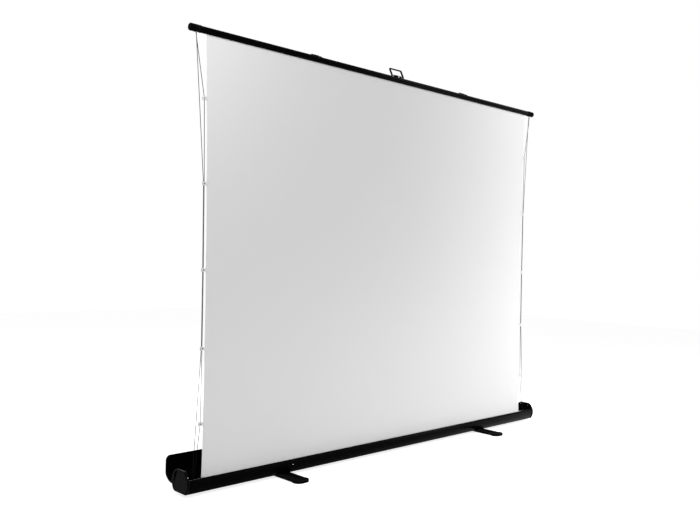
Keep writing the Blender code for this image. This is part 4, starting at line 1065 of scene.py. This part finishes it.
def make_roller(black, cloth, powder):
    """The roller tube, the last turn of cloth on it, and the brackets that hold it."""
    centre = (0, ROLLER_Y, ROLLER_Z)
    half = TUBE_LENGTH / 2
    bore = TUBE_RADIUS - TUBE_WALL
    profile = [(-half, bore), (-half, TUBE_RADIUS - GAP), (-half + GAP, TUBE_RADIUS),
               (half - GAP, TUBE_RADIUS), (half, TUBE_RADIUS - GAP), (half, bore)]
    fitted(turned("roller_barrel", profile, centre, (1, 0, 0), 64, closed=True), "roller", black,
           "roller_tube")

    first = TUBE_RADIUS + GAP + FABRIC_THICKNESS / 2
    last = TUBE_RADIUS + GAP + FABRIC_THICKNESS * 1.5
    line = []
    for step in range(WINDING_STEPS + 1):
        angle = math.tau * step / WINDING_STEPS
        radius = first + (last - first) * step / WINDING_STEPS
        line.append((ROLLER_Y + radius * math.cos(angle), ROLLER_Z + radius * math.sin(angle)))
    half = FABRIC_THICKNESS / 2 * WINDING_EASE
    outer, inner = inner_line(line, -half), inner_line(line, half)
    wound = section("cloth_on_roller", outer + inner[::-1], -FABRIC_WIDTH / 2, FABRIC_WIDTH / 2)
    fitted(wound, "roller", cloth, "fabric_roll")

    foot = FLOOR_TOP + GAP
    head = arc((ROLLER_Y, ROLLER_Z), BRACKET_HALF, 0, 180, 24)
    outline = [(ROLLER_Y - BRACKET_HALF, foot), (ROLLER_Y + BRACKET_HALF, foot)] + head
    upright = section("roller_stand_right", outline,
                      BRACKET_X - BRACKET_SHEET / 2, BRACKET_X + BRACKET_SHEET / 2)
    half = BRACKET_HALF - GAP / 3
    flange = block("flange", (BRACKET_X, ROLLER_Y - half, foot),
                   (BRACKET_X + BRACKET_FLANGE, ROLLER_Y + half, foot + BRACKET_SHEET))
    round_edges(flange, 0.003, 6,
                lambda middle, run: abs(run.z) > 0.9 and middle.x > BRACKET_X + GAP)
    cut(upright, flange, operation="UNION")
    cut(upright, rod("drill", (BRACKET_X, ROLLER_Y, ROLLER_Z), (1, 0, 0), SHAFT_HOLE, 0.02))
    soften(upright, 0.0003)
    profile = [(0.0011, 0), (0.0010, 0.0015), (0.0005, 0.0027), (0, 0.003), (-0.001, 0.002),
               (-0.001, 0)]
    rivet = turned("rivet", profile, (BRACKET_X + 0.0068, ROLLER_Y, foot + BRACKET_SHEET),
                   (0, 0, 1), 24)
    stands = mirrored(joined("roller_stand_right", [upright, rivet]), "roller_stand")
    for _, word in SIDES:
        fitted(stands[word], "case", powder, f"roller_bracket_{word}")


# ---------------------------------------------------------------- fabric, clips and cords

def fabric_y(z):
    """Where the middle of the cloth stands at a height."""
    share = (z - FABRIC_BOTTOM.z) / (FABRIC_TOP.z - FABRIC_BOTTOM.z)
    return FABRIC_BOTTOM.y + share * (FABRIC_TOP.y - FABRIC_BOTTOM.y)


def fabric_edge(z):
    """Half width of the cloth at a height: drawn in between its corners."""
    share = min(max((z - FABRIC_BOTTOM.z) / (FABRIC_TOP.z - FABRIC_BOTTOM.z), 0), 1)
    return FABRIC_WIDTH / 2 - FABRIC_DRAW * 4 * share * (1 - share)


def scallop(z):
    """How far the edge of the cloth falls back between two clips."""
    stops = [FABRIC_BOTTOM.z] + [CASE_BOTTOM + level for level in TAB_LEVELS] + [FABRIC_TOP.z]
    for low, high in zip(stops, stops[1:]):
        if low <= z <= high:
            share = (z - low) / (high - low)
            return EDGE_SCALLOP * 4 * share * (1 - share)
    return 0


def make_strip(name, columns, rows, place):
    """A cloth strip: a grid whose points go where place(across, up) puts them."""
    object_mode()
    bpy.ops.object.select_all(action="DESELECT")
    bpy.ops.mesh.primitive_grid_add(x_subdivisions=columns, y_subdivisions=rows, size=2)
    strip = named(name)
    for vertex in strip.data.vertices:
        vertex.co = place((vertex.co.x + 1) / 2, (vertex.co.y + 1) / 2)
    return strip


def thicken(piece, thickness, towards):
    """Give a sheet its wall, even on both sides of it, with its front face towards a direction."""
    only(piece)
    if piece.data.polygons[0].normal.dot(Vector(towards)) < 0:
        bpy.ops.object.mode_set(mode="EDIT")
        all_of_it()
        bpy.ops.mesh.flip_normals()
        object_mode()
    wall = piece.modifiers.new("wall", "SOLIDIFY")
    wall.thickness = thickness
    wall.offset = 0
    bpy.ops.object.modifier_apply(modifier=wall.name)
    return piece


def edge_pull(z, side):
    """How far the cloth is drawn back between two clips, this share of the way to its edge."""
    return EDGE_PULL * (scallop(z) / EDGE_SCALLOP) * side ** 16


def cloth_point(across, up):
    """A point of the stretched cloth: flat, with faint pulls at its edges between the clips."""
    z = FABRIC_BOTTOM.z + (FABRIC_TOP.z - FABRIC_BOTTOM.z) * up
    side = 2 * across - 1
    x = side * (fabric_edge(z) - scallop(z) * abs(side) ** 12)
    return Vector((x, fabric_y(z) + edge_pull(z, abs(side)), z))


def tape_point(across, up, side):
    """A point of the tape on the back of one edge of the cloth."""
    share = TAPE_END + (1 - 2 * TAPE_END) * up
    z = FABRIC_BOTTOM.z + (FABRIC_TOP.z - FABRIC_BOTTOM.z) * share
    whole = fabric_edge(z)
    x = whole - TAPE_INSET - TAPE_WIDTH * across
    x -= scallop(z) * (x / whole) ** 12
    y = fabric_y(z) + edge_pull(z, x / whole) + FABRIC_THICKNESS / 2 + TAPE_GAP
    return Vector((side * x, y, z))


def make_fabric(cloth, tape, clip):
    """The stretched cloth, with the tape along its back edges and ten clips for the cords."""
    sheet = make_strip("screen_cloth", 96, 96, cloth_point)
    thicken(sheet, FABRIC_THICKNESS, (0, -1, 0))
    fitted(sheet, "case", cloth, "fabric")
    extras = []
    for side, word in SIDES:
        strip = make_strip(f"edge_tape_{word}", 4, 96,
                           lambda across, up: tape_point(across, up, side))
        extras.append(fitted(thicken(strip, TAPE_THICKNESS, (0, 1, 0)), "case", tape))
    first = make_clip()
    edge, y = fabric_edge(FIRST_CLIP_Z), fabric_y(FIRST_CLIP_Z)
    for side, word in SIDES:
        for number, level in enumerate(TAB_LEVELS, 1):
            z = CASE_BOTTOM + level
            shift = (side * (fabric_edge(z) - edge), fabric_y(z) - y, z - FIRST_CLIP_Z)
            extras.append(copied(first, f"clip_{word}_{number}", shift, (side, 1, 1)))
            fitted(extras[-1], "case", clip)
    bpy.data.objects.remove(first)
    for piece in [sheet] + extras:
        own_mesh(piece)


def make_clip():
    """One clip: jaws on the cloth, a neck, and an eye that the cords run through."""
    z = FIRST_CLIP_Z
    edge, middle_y = fabric_edge(z), fabric_y(z)
    half, grip = TAB_DEPTH / 2, FABRIC_THICKNESS / 2 + TAB_JAW
    end = (edge + TAB_REACH - half, middle_y)
    jaw = [(edge - TAB_GRIP, grip), (edge, grip), (edge + TAB_JAW * 2, half)]
    outline = [(x, middle_y - aside) for x, aside in jaw] + arc(end, half, -90, 90, 16)
    outline += [(x, middle_y + aside) for x, aside in reversed(jaw)]
    low = z - TAB_LENGTH / 2
    body = extruded("clip", [(x, y, low) for x, y in outline], (0, 0, TAB_LENGTH))
    width = TAB_DEPTH - 2 * TAB_WALL
    reach = CORD_SPACING / 2 + CORD_RADIUS + TAB_CLEARANCE - width / 2
    centre = edge + CORD_OFFSET + CORD_SPACING / 2
    eye = arc((centre + reach, middle_y), width / 2, -90, 90, 10)
    eye += arc((centre - reach, middle_y), width / 2, 90, 270, 10)
    cut(body, extruded("eye", [(x, y, low - 0.002) for x, y in eye], (0, 0, TAB_LENGTH + 0.004)))
    window = block("window", (edge + TAB_WINDOW, middle_y - half - 0.002, z - TAB_WINDOW_HALF),
                   (centre + reach, middle_y, z + TAB_WINDOW_HALF))
    round_edges(window, 0.0012, 4, lambda middle, run: abs(run.y) > 0.9)
    cut(body, window)
    soften(body, 0.0005, 3)
    button = dome(0.0006, 0.0016, 5) + [(-0.0004, 0.0016), (-0.0004, 0)]
    stud = turned("stud", button, (edge - TAB_GRIP / 2, middle_y - grip, z), (0, -1, 0), 20)
    return joined("clip", [body, stud])


def taut_route(points):
    """A cord pulled tight through (x, y, level) points, eased a little at each of them."""
    xs, ys, levels = zip(*points)
    stops = [levels[0]]
    for level in levels[1:-1]:
        stops += [level + CORD_EASE * share for share in (-1, 0, 1)]
    stops.append(levels[-1])
    route = []
    for stop in stops:
        window = [stop + CORD_EASE * share for share in (-1, -0.5, 0, 0.5, 1)]
        x, y = (float(np.mean(np.interp(window, levels, places))) for places in (xs, ys))
        route.append((x, y, CASE_BOTTOM + stop))
    return route


def cord_route(turn, tabs, offset):
    """The right-hand way of a cord: up from the post, through these clips, into the ring."""
    bottom, top = ANCHOR_LEVEL + GAP, BAR_LEVEL - CAP_RADIUS - GAP
    start = (ANCHOR_X + turn * CORD_SPACING, fabric_y(CASE_BOTTOM + bottom))
    end = (EYELET_X - turn * EYELET_STAGGER, BAR_Y + turn * EYELET_STAGGER)
    points = [(*start, bottom), (*start, bottom + CORD_STRAIGHT)]
    for level in tabs:
        z = CASE_BOTTOM + level
        points.append((fabric_edge(z) + offset, fabric_y(z), level))
    return taut_route(points + [(*end, top - CORD_STRAIGHT), (*end, top)])


def make_cords(cord):
    """The two tension cords of each side, from the post in the case up into the bar's cap."""
    routes = {"inner": cord_route(-1, TAB_LEVELS, CORD_OFFSET),
              "outer": cord_route(1, TAB_LEVELS[1:4], CORD_OFFSET + CORD_SPACING)}
    for side, word in SIDES:
        for kind, right_route in routes.items():
            route = [(side * x, y, z) for x, y, z in right_route]
            piece = tube(f"tension_cord_{kind}_{word}", route, STRETCHED_CORD_RADIUS, 3)
            fitted(piece, "case", cord, f"cord_{kind}_{word}", smooth=60)
            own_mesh(piece)


def tube(name, points, radius, fineness):
    """A round cord or wire along the points, made a mesh with closed ends."""
    object_mode()
    curve = bpy.data.curves.new(name, "CURVE")
    curve.dimensions = "3D"
    curve.bevel_depth = radius
    curve.bevel_resolution = fineness
    curve.use_fill_caps = True
    spline = curve.splines.new("POLY")
    spline.points.add(len(points) - 1)
    for point, place in zip(spline.points, points):
        point.co = (*place, 1)
    wire = bpy.data.objects.new(name, curve)
    bpy.context.scene.collection.objects.link(wire)
    only(wire)
    bpy.ops.object.convert(target="MESH")
    piece = named(name)
    bpy.ops.object.mode_set(mode="EDIT")
    tidy_shell()
    object_mode()
    return piece


def make_cord_ends(plastic, steel):
    """The post in the case and the ring under the bar's cap, at both ends of the cords."""
    foot, top = FLOOR_TOP + GAP, CASE_BOTTOM + ANCHOR_LEVEL
    rise, place = top - foot, fabric_y(CASE_BOTTOM + ANCHOR_LEVEL)
    head, neck = POST_HEAD, POST_NECK
    profile = [(0, 0), (0, head), (rise / 10, head), (rise / 5, 0.0045), (rise / 3, neck),
               (rise * 0.62, neck), (rise * 0.72, 0.0046), (rise * 0.80, head),
               (rise - 0.0006, head), (rise, 0.0049), (rise, 0)]
    post = turned("cord_post_right", profile, (ANCHOR_X, place, foot), (0, 0, 1), 32)
    posts = mirrored(post, "cord_post")
    thin, wide = EYELET_HALF
    profile = [(thin * math.cos(a), EYELET_RADIUS + wide * math.sin(a))
               for a in np.linspace(0, math.tau, 13)[:-1]]
    under = BAR_Z - CAP_RADIUS - GAP - thin
    ring = turned("cord_ring_right", profile, (EYELET_X, BAR_Y, under), (0, 0, 1), 32, closed=True)
    rings = mirrored(ring, "cord_ring")
    for _, word in SIDES:
        fitted(posts[word], "case", plastic, f"cord_anchor_{word}")
        fitted(rings[word], "bar", steel, f"cord_eyelet_{word}")


# ---------------------------------------------------------------- top bar

def make_bar(black, plastic):
    """The slotted bar with a cap on each end."""
    outer = math.degrees(math.asin(BAR_SLOT / 2 / BAR_RADIUS))
    bore = BAR_RADIUS - BAR_WALL
    inner = math.degrees(math.asin(BAR_SLOT / 2 / bore))
    outline = arc((BAR_Y, BAR_Z), BAR_RADIUS, -90 + outer, 270 - outer, 72)
    outline += arc((BAR_Y, BAR_Z), bore, 270 - inner, -90 + inner, 72)
    end = BAR_END - CAP_END - GAP
    fitted(soften(section("bar_tube", outline, -end, end), 0.0003), "bar", black, "top_bar")

    centre, shoulder = BAR_END - CAP_ROUNDING, CAP_RADIUS - CAP_ROUNDING
    rounding = [(centre + CAP_ROUNDING * math.cos(a), shoulder + CAP_ROUNDING * math.sin(a))
                for a in np.linspace(0.12, math.pi / 2, 9)]
    face = [(BAR_END - 0.0008, 0), (BAR_END - 0.0008, 0.0066), (BAR_END - 0.0002, 0.0073),
            (BAR_END, 0.0080)]
    back, groove = BAR_END - CAP_LENGTH, CAP_RADIUS - CAP_GROOVE
    collar = [(back + 0.0080, CAP_RADIUS), (back + 0.0074, groove), (back + 0.0062, groove),
              (back + 0.0056, CAP_RADIUS), (back + 0.0006, CAP_RADIUS), (back, CAP_RADIUS - 0.0005)]
    bore, floor = BAR_RADIUS + GAP, BAR_END - CAP_END
    profile = face + rounding + collar + [(back, bore), (floor, bore), (floor, 0)]
    caps = mirrored(turned("cap_right", profile, (0, BAR_Y, BAR_Z), (1, 0, 0), 64), "cap")
    for _, word in SIDES:
        fitted(caps[word], "bar", plastic, f"bar_cap_{word}")


def make_bar_brackets(powder, steel):
    """The plate behind the bar that holds each upper arm, with a screwed strap over the bar."""
    left, right = LIFT_X - PLATE_HALF, LIFT_X + PLATE_HALF
    top, shoulder = BAR_Z + PLATE_TOP, BAR_Z + PLATE_SHOULDER
    outline = [(right, shoulder), (right, top), (left, top), (left, shoulder)]
    outline += arc((LIFT_X, BAR_PIVOT_Z), PLATE_EAR, 180, 360, 20)
    back = extruded("arm_bracket_right", [(x, EAR_FRONT, z) for x, z in outline],
                    (0, EAR_REAR - EAR_FRONT, 0))
    round_edges(back, 0.0035, 6,
                lambda middle, run: abs(run.y) > 0.9 and middle.z > shoulder - GAP)
    cut(back, rod("drill", (LIFT_X, EAR_Y, BAR_PIVOT_Z), (0, 1, 0), PIN_RADIUS + GAP, 0.02))
    near = BAR_RADIUS + GAP
    far = near + STRAP_SHEET
    strap = arc((BAR_Y, BAR_Z), near, 180 - STRAP_SWEEP, 90, 14)
    strap += [(EAR_FRONT + GAP, BAR_Z + near), (EAR_FRONT + GAP, BAR_Z + far)]
    strap += arc((BAR_Y, BAR_Z), far, 90, 180 - STRAP_SWEEP, 14)
    cut(back, section("strap", strap, left + GAP, right - GAP), operation="UNION")
    brackets = mirrored(soften(back, 0.0005), "arm_bracket")
    for side, word in SIDES:
        fitted(brackets[word], "bar", powder, f"bar_bracket_{word}")
        columns = [side * (LIFT_X + along) for along in (-STRAP_SCREW_X, STRAP_SCREW_X)]
        heads = [cross_screw("screw", (x, STRAP_SCREW_Y, BAR_Z + far), (0, 0, 1), 0.0028, 0.0009)
                 for x in columns]
        heads += [cross_screw("screw", (x, EAR_REAR, BAR_Z + STRAP_SCREW_RISE), (0, 1, 0),
                              0.0030, 0.0009) for x in columns]
        fitted(joined(f"strap_screws_{word}", heads), "bar", steel)


def make_handle(powder, plastic, steel):
    """The bent strap handle that leans back, on the saddle in the middle of the bar."""
    near, crown = BAR_RADIUS + GAP, SADDLE_TOP - SADDLE_HALF
    reach = math.degrees(math.asin(SADDLE_HALF / near))
    outline = arc((BAR_Y, BAR_Z), near, 90 - reach, 90 + reach, 14)
    outline += arc((BAR_Y, BAR_Z + crown), SADDLE_HALF, 180, 0, 24)
    saddle = section("saddle", outline, -SADDLE_WIDTH / 2, SADDLE_WIDTH / 2)
    cut(saddle, rod("drill", (0, BAR_Y, HANDLE_PIVOT.z), (1, 0, 0), HANDLE_ROD + GAP / 2, 0.06))
    fitted(soften(saddle, 0.0009, 3, 50), "bar", plastic, "handle_bracket")
    rivet = turned("saddle_rivet", dome(0.0012, 0.0030, 7) + [(0, 0)],
                   (0, BAR_Y - SADDLE_HALF - GAP, BAR_Z + crown), (0, -1, 0), 32)
    fitted(rivet, "bar", steel, "handle_rivet")

    up = Vector((0, math.sin(HANDLE_LEAN), math.cos(HANDLE_LEAN)))
    across = Vector((0, math.cos(HANDLE_LEAN), -math.sin(HANDLE_LEAN)))
    half, reach = HANDLE_WIDTH / 2, HANDLE_REACH - GAP / 3
    foot, leg = -STRAP_WIDTH / 2, half - LEG_THICKNESS
    right_out = [(half, foot)] + arc((half - STRAP_BEND, reach - STRAP_BEND), STRAP_BEND, 0, 90, 8)
    inside = (leg - STRAP_INNER_BEND, reach - STRAP_THICKNESS - STRAP_INNER_BEND)
    right_in = arc(inside, STRAP_INNER_BEND, 90, 0, 6) + [(leg, foot)]
    loop = right_out + [(-x, rise) for x, rise in reversed(right_out)]
    loop += [(-x, rise) for x, rise in reversed(right_in)] + right_in
    points = [HANDLE_PIVOT + Vector((x, 0, 0)) + up * rise - across * STRAP_WIDTH / 2
              for x, rise in loop]
    strap = extruded("bail", points, across * STRAP_WIDTH)
    low = HANDLE_PIVOT + up * foot
    round_edges(strap, STRAP_WIDTH / 2 - 0.00005, 8,
                lambda middle, run: abs((middle - low).dot(up)) < 0.0002 and abs(run.x) > 0.9)
    cut(strap, rod("drill", HANDLE_PIVOT, (1, 0, 0), HANDLE_ROD + GAP, 0.1))
    fitted(soften(strap, 0.0004, 2, 50), "handle", powder, "handle")


# ---------------------------------------------------------------- lift

def elbow_place():
    """The left elbow pin's place, as (x, z)."""
    return (-LIFT_X + ARM_LENGTH * math.cos(LIFT_ANGLE),
            BASE_PIVOT_Z + ARM_LENGTH * math.sin(LIFT_ANGLE))


def flat_arm(name, start, end, y):
    """A flat bar with round ends, a groove down each face and a hole at each pivot."""
    start, end = Vector((start[0], y, start[1])), Vector((end[0], y, end[1]))
    run = (end - start).normalized()
    over = Vector((-run.z, 0, run.x))
    outline = []
    for centre, first in ((end, -90), (start, 90)):
        outline += [centre + run * u + over * v
                    for u, v in arc((0, 0), ARM_HALF, first, first + 180, 20)]
    back = Vector((0, ARM_THICKNESS / 2, 0))
    piece = extruded(name, [point - back for point in outline], 2 * back)
    for facing in (-1, 1):
        sink_face(piece, 0.0028, 0.0005, 0.0004, lambda middle, normal: normal.y * facing > 0.99)
    for pivot in (start, end):
        cut(piece, rod("drill", pivot, (0, 1, 0), PIN_RADIUS + GAP, 0.02))
    return soften(piece, 0.0003, 2, 40)


def pivot_pin(name, place, low, high, spacer=None):
    """A pin along Y with a domed head beyond each end, and a spacer on it if its ends are given."""
    low, high = low - GAP, high + GAP
    head = [(PIN_HEAD_THICKNESS * math.sin(a), PIN_HEAD * math.cos(a))
            for a in np.linspace(0.15, math.pi / 2, 6)]
    profile = [(low - along, radius) for along, radius in reversed(head)]
    profile += [(low, PIN_HEAD), (low, PIN_RADIUS)]
    if spacer:
        start, end = spacer
        profile += [(start, PIN_RADIUS), (start, PIN_HEAD), (end, PIN_HEAD), (end, PIN_RADIUS)]
    profile += [(high, PIN_RADIUS), (high, PIN_HEAD)]
    profile += [(high + along, radius) for along, radius in head]
    return turned(name, profile, (place[0], 0, place[1]), (0, 1, 0), 36)


def base_stand():
    """The bracket that holds the left base pin, with its flange riveted to the case's floor."""
    floor, rear = FLOOR_TOP + GAP, EAR_REAR + STAND_FLANGE_OVER
    outline = [(-LIFT_X - STAND_HALF, floor), (-LIFT_X + STAND_HALF, floor)]
    outline += arc((-LIFT_X, BASE_PIVOT_Z), STAND_EAR, 0, 180, 24)
    bracket = extruded("stand_base_left", [(x, EAR_FRONT, z) for x, z in outline],
                       (0, EAR_REAR - EAR_FRONT, 0))
    half, depth, sheet = STAND_FLANGE
    flange = block("flange", (-LIFT_X - half, rear - depth, floor),
                   (-LIFT_X + half, rear, floor + sheet))
    round_edges(flange, 0.004, 6, lambda middle, run: abs(run.z) > 0.9)
    cut(bracket, flange, operation="UNION")
    cut(bracket, rod("drill", (-LIFT_X, EAR_Y, BASE_PIVOT_Z), (0, 1, 0), PIN_RADIUS + GAP, 0.02))
    soften(bracket, 0.0004)
    head = dome(0.0012, 0.0032) + [(-0.001, 0.002), (-0.001, 0)]
    rivets = [turned("rivet", head, (-LIFT_X + along, rear - depth / 2, floor + sheet),
                     (0, 0, 1), 24) for along in (-STAND_RIVET_X, STAND_RIVET_X)]
    return joined("stand_base_left", [bracket] + rivets)


def base_coil():
    """The spring round the left base pin, its tail on the case's floor."""
    length, turns = COIL_TURNS * COIL_PITCH, COIL_TURNS * COIL_STEPS
    middle = EAR_REAR + GAP + PIN_HEAD_THICKNESS + GAP + COIL_WIRE + length / 2
    points = [(-LIFT_X + COIL_RADIUS, middle - length / 2, FLOOR_TOP + GAP + COIL_TAIL_RISE)]
    for step in range(turns + 1):
        angle = math.tau * step / COIL_STEPS
        y = middle + length * (step / turns - 0.5)
        points.append((-LIFT_X + COIL_RADIUS * math.cos(angle), y,
                       BASE_PIVOT_Z + COIL_RADIUS * math.sin(angle)))
    return tube("coil_base_left", points, COIL_WIRE, 2)


def make_lift(arm_left, arm_right, steel, powder):
    """The left lift as in the part. The right one is the left, turned half round."""
    near = EAR_FRONT - RUNNING_GAP - ARM_THICKNESS / 2
    far = near - ARM_THICKNESS - RUNNING_GAP
    half = ARM_THICKNESS / 2
    base, top, elbow = (-LIFT_X, BASE_PIVOT_Z), (-LIFT_X, BAR_PIVOT_Z), elbow_place()
    spacer = (near - half - RUNNING_GAP + GAP, near + half + RUNNING_GAP - GAP)
    lower = flat_arm("arm_lower_left", base, elbow, far)
    upper = flat_arm("arm_upper_left", elbow, top, near)
    left_pieces = (
        (lower, "lower_left", arm_left, arm_right, "lower_arm"),
        (upper, "upper_left", arm_right, arm_left, "upper_arm"),
        (pivot_pin("pin_elbow_left", elbow, far - half, near + half), "lower_left", steel, steel,
         "elbow_pin"),
        (pivot_pin("pin_base_left", base, far - half, EAR_REAR, spacer), "case", steel, steel,
         "base_pin"),
        (pivot_pin("pin_top_left", top, near - half, EAR_REAR), "bar", steel, steel, "top_pin"),
        (base_stand(), "case", steel, steel, "base_bracket"),
        (base_coil(), "case", powder, powder, "base_spring"),
    )
    for piece, body, finish, other_finish, node in left_pieces:
        other = copied(piece, piece.name.replace("left", "right"), mirror=(-1, -1, 1),
                       centre=(0, EAR_Y, 0))
        fitted(piece, body, finish, f"{node}_left")
        fitted(other, body.replace("left", "right"), other_finish, f"{node}_right")


# ---------------------------------------------------------------- the rest of the frame

def dress_frame(finishes):
    """Give every CAD node that still shows its finish, and break its edges."""
    for node, finish in finishes.items():
        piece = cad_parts[node]
        piece.data.materials.clear()
        piece.data.materials.append(finish.material)
        seam = piece.modifiers.new("seam", "WELD")
        seam.merge_threshold = NODE_SEAM
        edge = piece.modifiers.new("edge", "BEVEL")
        edge.width = NODE_EDGE
        edge.segments = 2
        edge.limit_method = "ANGLE"
        edge.angle_limit = math.radians(40)


def main():
    set_camera()
    cord = twisted_cord()
    make_cords(cord)
    set_light()
    set_floor()
    black = extruded_black("black_anodised_extrusion")
    bar_black = extruded_black("black_anodised_bar", waves=1.2)
    grey, plastic, clip = grey_end_plastic(), black_plastic(), clip_plastic()
    cloth = screen_cloth("screen_cloth", (0.80, 0.80, 0.80))
    tape = screen_cloth("edge_tape", (0.74, 0.74, 0.74), 0.00010)
    powder, steel, rubber = powder_coat(), zinc_plate(), pad_rubber()
    lean_one = brushed_aluminium("arm_aluminium_rising", (0, -LIFT_ANGLE, 0))
    lean_other = brushed_aluminium("arm_aluminium_falling", (0, LIFT_ANGLE, 0))

    make_trough(black)
    make_end_caps(grey, powder, steel)
    make_lid(black, plastic, rubber, steel)
    make_front_rivets(steel, powder)
    make_feet(powder, rubber, grey)
    make_roller(black, cloth, powder)
    make_fabric(cloth, tape, clip)
    make_cord_ends(plastic, steel)
    make_bar(bar_black, plastic)
    make_bar_brackets(powder, steel)
    make_handle(powder, plastic, steel)
    make_lift(lean_one, lean_other, steel, powder)
    dress_frame({
        "hinge_rod": steel, "foot_pivot_left": steel, "foot_pivot_right": steel,
        "foot_washer_left": clip, "foot_washer_right": clip, "roller_plug_left": plastic,
        "roller_plug_right": plastic, "roller_shaft": steel, "roller_spring": steel,
        "spring_plug": plastic, "hem_rod": clip, "handle_pivot": powder,
    })


main()
bpy.context.view_layer.update()
